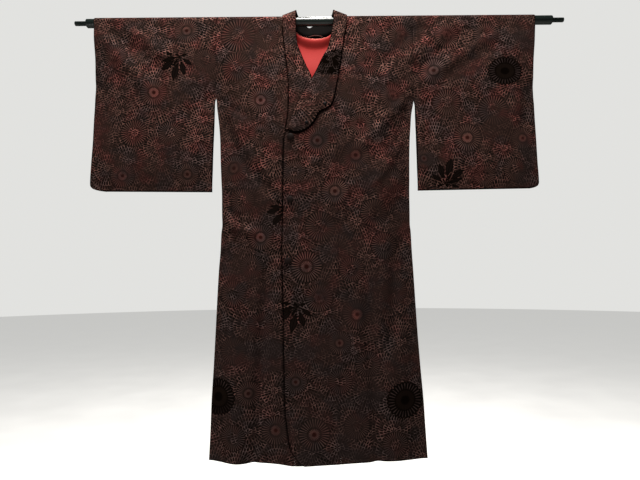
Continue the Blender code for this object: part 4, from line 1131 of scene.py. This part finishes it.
# %% [markdown]
# ## Body
# A kimono coat's body is two straight strips. Each runs from the front hem up over the shoulder
# and down to the back hem without a seam, so each is one shell here. The rows follow its length
# and the columns its width, from the front edge and the middle of the back to the side seam.

# %% Body strips
TOP_RUN, TOP_CELL = 0.09, 0.0022    # finer rows over the rod
STRETCH_FROM = 0.62                 # the length below which a strip is stretched to its hem


def strip_rows(*runs):
    """Lengths from the top of the fold, in one column: up the front below zero, then down the back."""
    down = places(*runs, (TOP_RUN, 0.0, TOP_CELL))
    return np.concatenate([-down, down[-2::-1]])[:, None]


def over_rod(x, signed, length, front_depth, back_depth, to_edge):
    """The strip's points: the front's where `signed` is below zero, and the back's elsewhere."""
    ahead = hang(x, length, -1, drawn_in(front_depth, to_edge))
    behind = hang(x, length, 1, drawn_in(back_depth, to_edge))
    return np.where((signed < 0)[..., None], ahead, behind)


def body_strip(side, front):
    """x = side times (inner + (outer - inner) u), and the length along the strip is stretched so
    that its last row lies on the hem table."""
    full = ARC + HEM_DEPTH
    signed = strip_rows((full, TOP_RUN, CELL))
    length = np.abs(signed)
    level = ARC - length
    neck = read(FRONT_NECK, "z", "left" if side > 0 else "right", level)
    inner = np.where(signed > 0, read(BACK_NECK, "along", "x", length), neck)
    outer = half_width(side, level) - SEAM_GAP / 2
    x = side * (inner + (outer - inner) * columns_for(BODY_SIDE[0].left - OVERLAP_SEAM_X))
    stretch = np.clip((length - STRETCH_FROM) / (full - STRETCH_FROM), 0.0, 1.0)
    length = length + (ARC - read(HEM, "x", "z", x) - full) * stretch
    from_inner = side * x - np.where(signed > 0, inner, OVERLAP_SEAM_X)
    to_edge = np.minimum(outer - side * x, from_inner)
    points = over_rod(x, signed, length, front, back, to_edge)

    z = points[..., 2]
    # painted shade along the seams and the hem, and painted shadow under the collar, the flap and the overlap
    to_edge = np.minimum(np.abs(to_edge) + SEWN, full - np.abs(signed))
    if side > 0:
        beneath = below_flap(x, z)
    else:
        beneath = np.minimum(below_collar(x, z, COLLAR_RIGHT), below_flap(x, z))
        beneath = np.minimum(beneath, below_overlap(x, z))
    to_edge = np.where(signed < 0, np.minimum(to_edge, beneath), to_edge)
    return points, x, ARC + np.sign(signed) * length, to_edge


FRONTS = (1, "left", over_front), (-1, "right", under_front)
for side, side_name, front in FRONTS:
    points, x, v, to_edge = body_strip(side, front)
    nodes = [f"front_{side_name}", f"back_{side_name}"]
    ways = woven(x, v, UNDER_MOTIFS)
    shell(f"body_{side_name}", points, x, v, ways, to_edge, silk, nodes)

# %% [markdown]
# ## Overlap panels
# A narrow panel is sewn to each front edge, so that the two fronts can overlap. The wearer's left
# one lies on top, and its lower corner is rounded. Rows run down it and columns across, from the
# free edge to the seam.

# %% Overlap panels
PANEL_ROWS = (0.0, 0.10, 0.0035), (0.10, 0.90, 0.0050), (0.90, 1.0, 0.0020)
PANEL_WIDTH = 0.15


def overlap(side, front):
    """x runs from the free edge to the seam and z from the top to the hem table, each in a straight
    share of the way between the two."""
    edge_top, edge_bottom = OVERLAP_EDGE[0].z, OVERLAP_EDGE[-1].z
    v = places(*PANEL_ROWS)[:, None]
    edge = read(OVERLAP_EDGE, "z", "x", edge_top + (edge_bottom - edge_top) * v)
    x = edge + (OVERLAP_SEAM_X - SEAM_GAP / 2 - edge) * columns_for(PANEL_WIDTH)
    top = read(OVERLAP_TOP, "x", "over" if side > 0 else "under", x)
    z = top + (read(HEM, "x", "z", side * x) - top) * v
    depth = drawn_in(front, np.minimum(OVERLAP_SEAM_X - x, x - edge))(side * x, z)
    # painted shade along the seam, the free edge and the hem, and painted shadow under the flap
    to_edge = np.minimum(np.minimum(OVERLAP_SEAM_X - x + SEWN, x - edge), z - z[-1:])
    if side > 0:
        to_edge = np.minimum(to_edge, below_flap(x, z))
    return np.stack([side * x, -depth, z], axis=-1), side * x, z, to_edge


for side, side_name, front in FRONTS:
    name = f"overlap_{side_name}"
    points, x, v, to_edge = overlap(side, front)
    shell(name, points, x, v, woven(x, v, OVERLAP_MOTIFS), to_edge, silk, [name])

# %% [markdown]
# ## Sleeves
# Each sleeve is one strip folded over the rod and sewn up along its bottom and the lower part of
# its outer edge, where a rounded corner is left. The edge towards the body stays open below the
# armhole, and the upper outer edge is the opening for the hand.

# %% Sleeves
SLEEVE_WIDTH = 0.34
BOTTOM_RUN, BOTTOM_CELL = 0.065, 0.0022     # finer rows round the bottom corner


def sleeve_strip(side):
    """x = side times (inner + (outer - inner) u), and the length is less towards the cuff, so that
    the bottom rises by SLEEVE_RISE there."""
    full = ARC - SLEEVE_BOTTOM
    signed = strip_rows((full, full - BOTTOM_RUN, BOTTOM_CELL), (full - BOTTOM_RUN, TOP_RUN, CELL))
    length = np.abs(signed)
    level = ARC - length
    inner = sleeve_edge("inner", side, level) + SEAM_GAP / 2
    outer = sleeve_edge("outer", side, level)
    u = columns_for(SLEEVE_WIDTH)
    x = side * (inner + (outer - inner) * u)
    from_inner, from_outer = side * x - inner, outer - side * x
    length = length - SLEEVE_RISE * u * smooth((SLEEVE_EVEN - level) / (SLEEVE_EVEN - SLEEVE_BOTTOM))
    points = over_rod(x, signed, length, sleeve_front, sleeve_back, np.minimum(from_inner, from_outer))
    # painted shade along the armhole and the outer edge, and a wide band of it along the bottom, which turns
    # away from the light
    armhole = np.where(level > ARMPIT_Z, from_inner + SEWN, from_inner)
    bottom = BOTTOM_SHARE * (full - np.abs(signed))
    to_edge = np.minimum(np.minimum(armhole, from_outer), bottom)
    return points, x, ARC + np.sign(signed) * length, to_edge


for side, side_name in ((1, "left"), (-1, "right")):
    points, x, v, to_edge = sleeve_strip(side)
    nodes = [f"sleeve_{side_name}_front", f"sleeve_{side_name}_back"]
    shell(f"sleeve_{side_name}", points, x, v, woven(x, v), to_edge, silk, nodes)

# %% [markdown]
# ## Collar
# One folded band runs round the neck. It stands up from the rod at both shoulders and sags behind
# the neck, then lies on the fronts. On the wearer's left it widens into a flap with a scalloped
# end, which closes over the right side. Each row gives the band's outer and inner edge, and the
# band swells a little between them.

# %% Collar shell
COLLAR_LIFT, TURN_LIFT, COLLAR_PUFF = 0.0026, 0.0032, 0.0025
COLLAR_CLOTH = 0.0020
COLLAR_SAG, SAG_X, SAG_WIDTH = 0.0090, -0.017, 0.011
PUFF_RISE, PUFF_FALL = 0.10, 0.06
LEFT_FLAT, RIGHT_FLAT = -1.0, -0.22     # heights below which the band doesn't swell
TURN_STEP, BAND_STEP = 0.0025, 0.0030
COLLAR_WIDTH = 0.052
w = columns_for(COLLAR_WIDTH)


def turn_points(side):
    """The turn over the shoulder: outer times (1 - w) plus inner times w, where the inner edge sags
    by COLLAR_SAG times a bell round SAG_X."""
    row = finer(COLLAR_TURN, TURN_STEP)
    length = np.abs(row["along"])
    behind = hang(row["x_out"], length, 1, back, TURN_LIFT)
    ahead = hang(row["x_out"], length, -1, under_front, TURN_LIFT)
    outer = np.where(row["along"][..., None] >= 0, behind, ahead)
    sag = COLLAR_SAG * np.exp(-((side * row["x_in"] - SAG_X) / SAG_WIDTH) ** 2)
    inner = np.stack([row["x_in"], row["y_in"], row["z_in"] - sag], axis=-1)
    points = outer * (1 - w[..., None]) + inner * w[..., None]
    points[..., 0] *= side
    return points


def front_band(rows, depth, flat_below):
    """depth(x, z) + COLLAR_LIFT + a swell of COLLAR_PUFF times 4 w (1 - w) across the band."""
    row = finer(rows, BAND_STEP)
    x = row["x_out"] * (1 - w) + row["x_in"] * w
    z = row["z_out"] * (1 - w) + row["z_in"] * w
    swell = COLLAR_PUFF * 4 * w * (1 - w) * smooth(-z / PUFF_RISE)
    swell = swell * smooth((z - flat_below) / PUFF_FALL)
    return np.stack([x, -(depth(x, z) + COLLAR_LIFT + swell), z], axis=-1)


left_turn, right_turn = turn_points(1), turn_points(-1)
left_band = front_band(COLLAR_LEFT, over_front, LEFT_FLAT)
right_band = front_band(COLLAR_RIGHT, under_front, RIGHT_FLAT)
points = np.concatenate([right_band[::-1], right_turn[::-1], left_turn[1:], left_band])
step = np.linalg.norm(np.diff(points[:, points.shape[1] // 2], axis=0), axis=1)
station = np.concatenate([[0.0], np.cumsum(step)])[:, None] + 0 * w
on_left = (points[..., 0] > 0) | (np.arange(len(points)) > len(right_band) + len(right_turn))[:, None]
flower = to_flower(points[..., 0], points[..., 2])
motif = to_motif(points[..., 0], points[..., 2], COLLAR_MOTIFS)
motif[..., 2] = DARK * (on_left & (points[..., 1] < 0) & (points[..., 2] > COLLAR_PIECE_Z))
across = np.linalg.norm(np.diff(points, axis=1), axis=-1)
from_outer = np.concatenate([np.zeros((len(points), 1)), np.cumsum(across, axis=1)], axis=1)
# painted shade along both edges of the band
to_edge = np.minimum(from_outer, from_outer[:, -1:] - from_outer)
nodes = ["collar_left", "collar_back", "collar_right"]
shell("collar", points, station, from_outer, (flower, motif), to_edge, silk, nodes, COLLAR_CLOTH)

# %% [markdown]
# ## Lining
# Inside the neck the coral red lining of the back shows. It is a sheet of its own, just inside the
# back's cloth. Below its top edge it stands in as a small roll, as a seam with its turned edge does,
# and lower down it hangs a little clear of the back.

# %% Lining
LINING = 0.0008                 # its thickness
LINING_HALF_WIDTH, LINING_BOTTOM, LINING_CLEAR, LINING_DROP = 0.115, 0.340, 0.0095, 0.0035
LINING_DEPTH = 0.0020           # how far inside the back's outer cloth it lies
ROLL, ROLL_PLACE, ROLL_FALL = 0.0070, 0.0090, 0.0250    # how far it stands in, where, and its fall
STAND, STAND_START, STAND_RUN = 0.0080, 0.030, 0.080
LINING_COLUMNS = 60
LINING_ROWS = (0.0, 0.05, 0.003), (0.05, 0.30, 0.010), (0.30, 1.0, 0.020)
x = np.linspace(-LINING_HALF_WIDTH, LINING_HALF_WIDTH, LINING_COLUMNS)[None, :]
top = np.maximum(read(BACK_NECK[:-1], "x", "along", np.abs(x)) + LINING_DROP, ARC + LINING_CLEAR)
v = places(*LINING_ROWS)[:, None]
length = top + (LINING_BOTTOM - top) * v
below = length - top
roll = ROLL * smooth(below / ROLL_PLACE) * (1 - smooth((below - ROLL_PLACE) / ROLL_FALL))
stand = STAND * smooth((below - STAND_START) / STAND_RUN)
x = x + 0 * length
points = hang(x, length, 1, back, -LINING_DEPTH - roll - stand)
# the distance below the top edge sets where the painted highlight along the seam fades
shell("lining", points, x, -length, (), below, [lining], ["lining_back"], LINING)

# %% [markdown]
# ## Rod
# The rod is a smooth dark tube with a thinner pin at each end. It is turned from a profile of radii
# and places along it. The same maker closes any row of rings into a solid, so the buttons and the
# loop use it too.

# %% Turned pieces
def ringed(name, rings, finish, node):
    """Quads between neighbouring rings of points (rings, sides, 3), and a cap on each end ring."""
    count, sides = rings.shape[:2]
    index = np.arange(count * sides).reshape(count, sides)
    after = np.roll(index, -1, axis=1)
    faces = np.stack([index[:-1], index[1:], after[1:], after[:-1]], -1).reshape(-1, 4).tolist()
    faces += [index[0].tolist(), index[-1][::-1].tolist()]
    mesh = bpy.data.meshes.new(name)
    mesh.from_pydata(rings.reshape(-1, 3), [], faces)
    return add_piece(name, mesh, [finish], [node])


def turned(name, radii, heights, sides, finish, node):
    """Rings of `sides` points: (radius cos a, radius sin a, height) for each profile point."""
    a = np.linspace(0.0, 2 * pi, sides, endpoint=False)
    r, h = np.array(radii)[:, None], np.array(heights)[:, None]
    rings = np.stack([r * np.cos(a), r * np.sin(a), h + 0 * a], axis=-1)
    return ringed(name, rings, finish, node)


ROD_RADIUS, ROD_HALF, PIN_RADIUS, PIN_LENGTH = 0.0125, 0.670, 0.0065, 0.034
PIN_BEVEL, ROD_BEVEL, STEP_GAP, ROD_SIDES = 0.001, 0.0015, 0.0003, 64
end = ROD_HALF + PIN_LENGTH
radii = [PIN_RADIUS - PIN_BEVEL, PIN_RADIUS, PIN_RADIUS, ROD_RADIUS - ROD_BEVEL, ROD_RADIUS]
heights = [end, end - PIN_BEVEL, ROD_HALF + STEP_GAP, ROD_HALF, ROD_HALF - ROD_BEVEL]
radii, heights = radii + radii[::-1], heights + [-h for h in heights[::-1]]
rod = turned("rod_turned", radii, heights, ROD_SIDES, rod_finish, "rod")
rod.data.transform(Matrix.Rotation(pi / 2, 4, "Y"))
print("rod length with pins:", round(2 * end, 3))

# %% [markdown]
# ## Buttons and press studs
# Three covered buttons close the front, and two small press studs hold the collar flap. Each is a
# low turned dome that stands on the cloth at its place.

# %% Buttons and studs
BUTTONS = [(-0.069, -0.347), (-0.071, -0.522), (-0.078, -0.690)]
STUDS = [(0.027, -0.254, 0.0013), (-0.025, -0.308, 0.0023)]     # the third is the collar's swell
BUTTON_SIZE, STUD_SIZE = (0.0095, 0.0060), (0.0045, 0.0018)     # radius and height
DOME_ROWS, DOME_SIDES, DOME_START, DOME_BASE = 10, 40, 0.02, 0.88
DOME_WALL = 0.35                # part of the height that stands straight up
ON_COLLAR = COLLAR_LIFT + COLLAR_CLOTH / 2


def on_front(node, x, z, size, stand, finish):
    """A low dome over a slightly drawn-in base, set on the front at (x, z). The dome's radius goes
    with the sine of an angle that runs to a quarter turn, and its height above DOME_WALL with the
    cosine."""
    radius, height = size
    a = np.linspace(DOME_START, pi / 2, DOME_ROWS)
    radii = [*(radius * np.sin(a)), radius * DOME_BASE]
    heights = [*(height * (DOME_WALL + (1 - DOME_WALL) * np.cos(a))), 0.0]
    made = turned(f"{node}_turned", radii, heights, DOME_SIDES, finish, node)
    depth = float(over_front(np.array(x), np.array(z)))
    place = Matrix.Translation((x + COAT_X, -(depth + stand), z)) @ Matrix.Rotation(pi / 2, 4, "X")
    made.data.transform(place)
    return made


buttons = [on_front(f"button_{number}", x, z, BUTTON_SIZE, CLOTH / 2, covered)
           for number, (x, z) in enumerate(BUTTONS, 1)]
studs = [on_front(f"stud_{number}", x, z, STUD_SIZE, ON_COLLAR + swell, stud_finish)
         for number, (x, z, swell) in enumerate(STUDS, 1)]
print("buttons:", len(buttons), "studs:", len(studs))

# %% [markdown]
# ## Hanging loop
# A small coral cord is sewn to the neck seam at both ends. Its line is half a sine wave, flattened
# at the top by a power below 1. Rings stand round it, square to the line's own direction.

# %% Hanging loop
LOOP_X, LOOP_RISE, LOOP_Y, LOOP_Z, LOOP_RADIUS = (-0.0235, 0.0297), 0.0080, 0.0179, -0.0395, 0.00125
LOOP_POINTS, LOOP_SIDES, LOOP_FLATNESS = 41, 12, 0.8
t = np.linspace(0.0, 1.0, LOOP_POINTS)
line = np.stack([LOOP_X[0] + (LOOP_X[1] - LOOP_X[0]) * t + COAT_X, LOOP_Y + 0 * t,
                 LOOP_Z + LOOP_RISE * np.sin(pi * t) ** LOOP_FLATNESS], axis=-1)
ahead = np.gradient(line, axis=0)
ahead /= np.linalg.norm(ahead, axis=1, keepdims=True)
depthwise = np.array([0.0, 1.0, 0.0])
beside = np.cross(ahead, depthwise)[:, None]
a = np.linspace(0.0, 2 * pi, LOOP_SIDES, endpoint=False)[None, :, None]
rings = line[:, None] + LOOP_RADIUS * (np.cos(a) * beside + np.sin(a) * depthwise)
loop = ringed("loop", rings, cord, "hanging_loop")
print("loop length:", round(float(np.linalg.norm(np.diff(line, axis=0), axis=1).sum()), 4))

# %% [markdown]
# ## The cut of the cloth
# Before it was hung, each piece was a flat strip. Its cut comes from the tables above: the width
# across and the length along the cloth, over the rod where it goes over, and the area inside its
# outline. The body and the sleeves hang from the rod, and the rest is sewn to the body.

# %% Cloth sheets
SHEETS = {
    "body_left": (["rod"], []), "body_right": (["rod"], []),
    "sleeve_left": (["rod"], []), "sleeve_right": (["rod"], []),
    "overlap_left": (["body_left"], buttons), "overlap_right": (["body_right"], []),
    "collar": (["body_left", "body_right"], studs + [loop]), "lining": (["body_left", "body_right"], []),
}
for name, (rests_on, pieces) in SHEETS.items():
    cut = CUTS[name]
    width, length = sorted((cut.width, cut.length))
    print(f"{name}: cut {width:.3f} x {length:.3f} m, {cut.area:.3f} square metres")

# %% [markdown]
